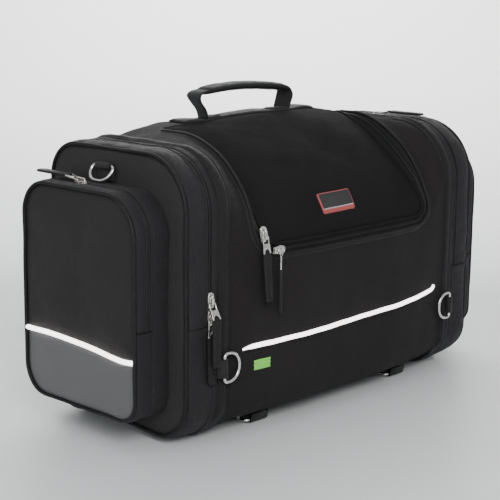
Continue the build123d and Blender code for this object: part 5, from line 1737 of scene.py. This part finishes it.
LID_B = front_plane(X0, -108.9, 214.0, 6.5)
LEFT_A = front_plane(-209.0, -99.0, 154)
LEFT_B = front_plane(-209.0, -99.0, 136)
RIGHT_A = plane((209.0, 25, 301), (1, 0, 0), (0, 0, 1))
LEFT_P = plane((-267.0, 29, 264), (-1, 0, 0), (0, 0, 1))
RIGHT_P = plane((267.0, 29, 264), (-1, 0, 0), (0, 0, 1))
AX, AZ = -121.0, 195.3
LID_A = plane((AX, -110.5, AZ), (0, 0, -1), (0, -1, 0))
for node, pl in (("lid_slider_a", LID_A), ("lid_slider_b", LID_B), ("left_end_slider_a", LEFT_A), ("left_end_slider_b", LEFT_B),
                 ("right_end_slider", RIGHT_A), ("left_pocket_slider", LEFT_P), ("right_pocket_slider", RIGHT_P)):
    add_slider(node, pl)
add_pull("lid_pull_b", LID_B, 2, (0, -0.08, -1))
add_pull("left_end_pull_a", LEFT_A, 24)
add_pull("left_end_pull_b", LEFT_B)
add_pull("right_end_pull", RIGHT_A, 12)
add_pull("left_pocket_pull", LEFT_P, 9)
add_pull("right_pocket_pull", RIGHT_P)

# the lower lid slider's pull hangs edge-on from a small ring through the bridge
ly = -110.5 - 5.35
ang = math.radians(42.0)
tx = np.array([math.cos(ang), math.sin(ang), 0.0])
tn = np.array([-math.sin(ang), math.cos(ang), 0.0])
o_ = np.array([AX - 1.0, ly, AZ - 5.95])
dn_ = np.array([0, 0, -1.0])
cz = AZ - 1.75
pth = []
for t in np.linspace(0, 2 * math.pi, 28, endpoint=False):
    pth.append((AX - 1.0, ly + 1.95 * np.sign(math.cos(t)) * abs(math.cos(t)) ** 0.8, cz + 3.7 * np.sign(math.sin(t)) * abs(math.sin(t)) ** 0.8))
obs = [sweep("lid_pull_a_ring", np.array(pth), np.tile([1.0, 0, 0], (28, 1)), circle(0.52, 8), M["slider"], closed=True)]
obs.append(crimp("lid_pull_a_crimp", o_, tx, dn_, tn, -0.9, 9.2, 13.4, 3.3, 4.6, 0.8))
ob = join("lid_pull_a_link", obs)
ride(ob, "lid_pull_a", "zip_metal", "lid_pull_a")
leather_tab("lid_pull_a", "lid_pull_a", o_ + dn_ * 13.6, tx, dn_, tn, 47.4, 4.7, 4.5, 3.3)




# ------------------------------------------------------------------ floor and light
def floor_material():
    t = Mat("floor_pale_painted_light")
    n = t.noise(160.0, 3.0)
    s = t.n.new("ShaderNodeSeparateXYZ")
    t.link(t.obj(), s.inputs[0])
    # painted light: the sweep is paler where it rises behind the bag, standing in for brighter light on the wall
    up_ = t.range(s.outputs[2], 0.0, 0.92, 0.0, 0.24)
    f = t.math("ADD", up_, t.math("MULTIPLY", n, 0.08))
    t.link(t.ramp(f, [(0.0, (0.715, 0.74, 0.745)), (0.12, (0.75, 0.77, 0.77)), (1.0, (0.955, 0.965, 0.96))]), t.b.inputs["Base Color"])
    t.link(t.range(n, 0.40, 0.48, 0.3, 0.7), t.b.inputs["Roughness"])
    return t.m


R = 3000.0
back = []
for y, z in [(-R, 0), (700, 0)] + [(700 + 900 * math.sin(a), 900 - 900 * math.cos(a)) for a in np.linspace(0.1, math.pi / 2, 14)] + [(1600, 3400)]:
    back.append((y, z))
# a sweep that faces the camera, turned to its heading
B = np.array(back)
c, s_ = math.cos(YAW), math.sin(YAW)
rows = []
for a in np.linspace(-3600, 3600, 9):
    rows.append(np.stack([a * c + B[:, 0] * s_, -a * s_ + B[:, 0] * c, B[:, 1] - 0.05], 1))
V = np.stack(rows, 0)
v, f, uv = grid(V)
floor = make("floor", v, f, uv, floor_material(), fix=False)


def area(name, loc, target, size, power, col=(1, 1, 1), size_y=None):
    d = bpy.data.lights.new(name, "AREA")
    d.energy = power
    d.color = col
    d.shape = "RECTANGLE"
    d.size = size
    d.size_y = size_y or size
    o = bpy.data.objects.new(name, d)
    S.collection.objects.link(o)
    o.location = loc
    o.rotation_euler = (Vector(target) - Vector(loc)).to_track_quat("-Z", "Y").to_euler()
    return o


area("key", (-1.12, -1.42, 1.2), (-0.04, 0, 0.16), 0.75, 23, (1.0, 0.985, 0.97))
area("fill", (-2.1, -0.5, 0.9), (0, 0, 0.15), 1.4, 12, (0.96, 0.97, 1.0))
area("top", (0.2, 0.1, 2.3), (0, 0, 0.2), 1.8, 2.5, (1.0, 0.99, 0.97))
area("rim", (1.7, 1.3, 1.3), (0, 0, 0.25), 1.0, 1.5, (0.97, 0.98, 1.0))
area("wall", (0.62, 0.60, 1.42), (1.6, 1.54, 1.02), 1.6, 50, (1.0, 1.0, 0.97))
w = bpy.data.worlds.new("world")
w.use_nodes = True
w.node_tree.nodes["Background"].inputs[0].default_value = (0.90, 0.92, 0.95, 1)
w.node_tree.nodes["Background"].inputs[1].default_value = 0.67
S.world = w
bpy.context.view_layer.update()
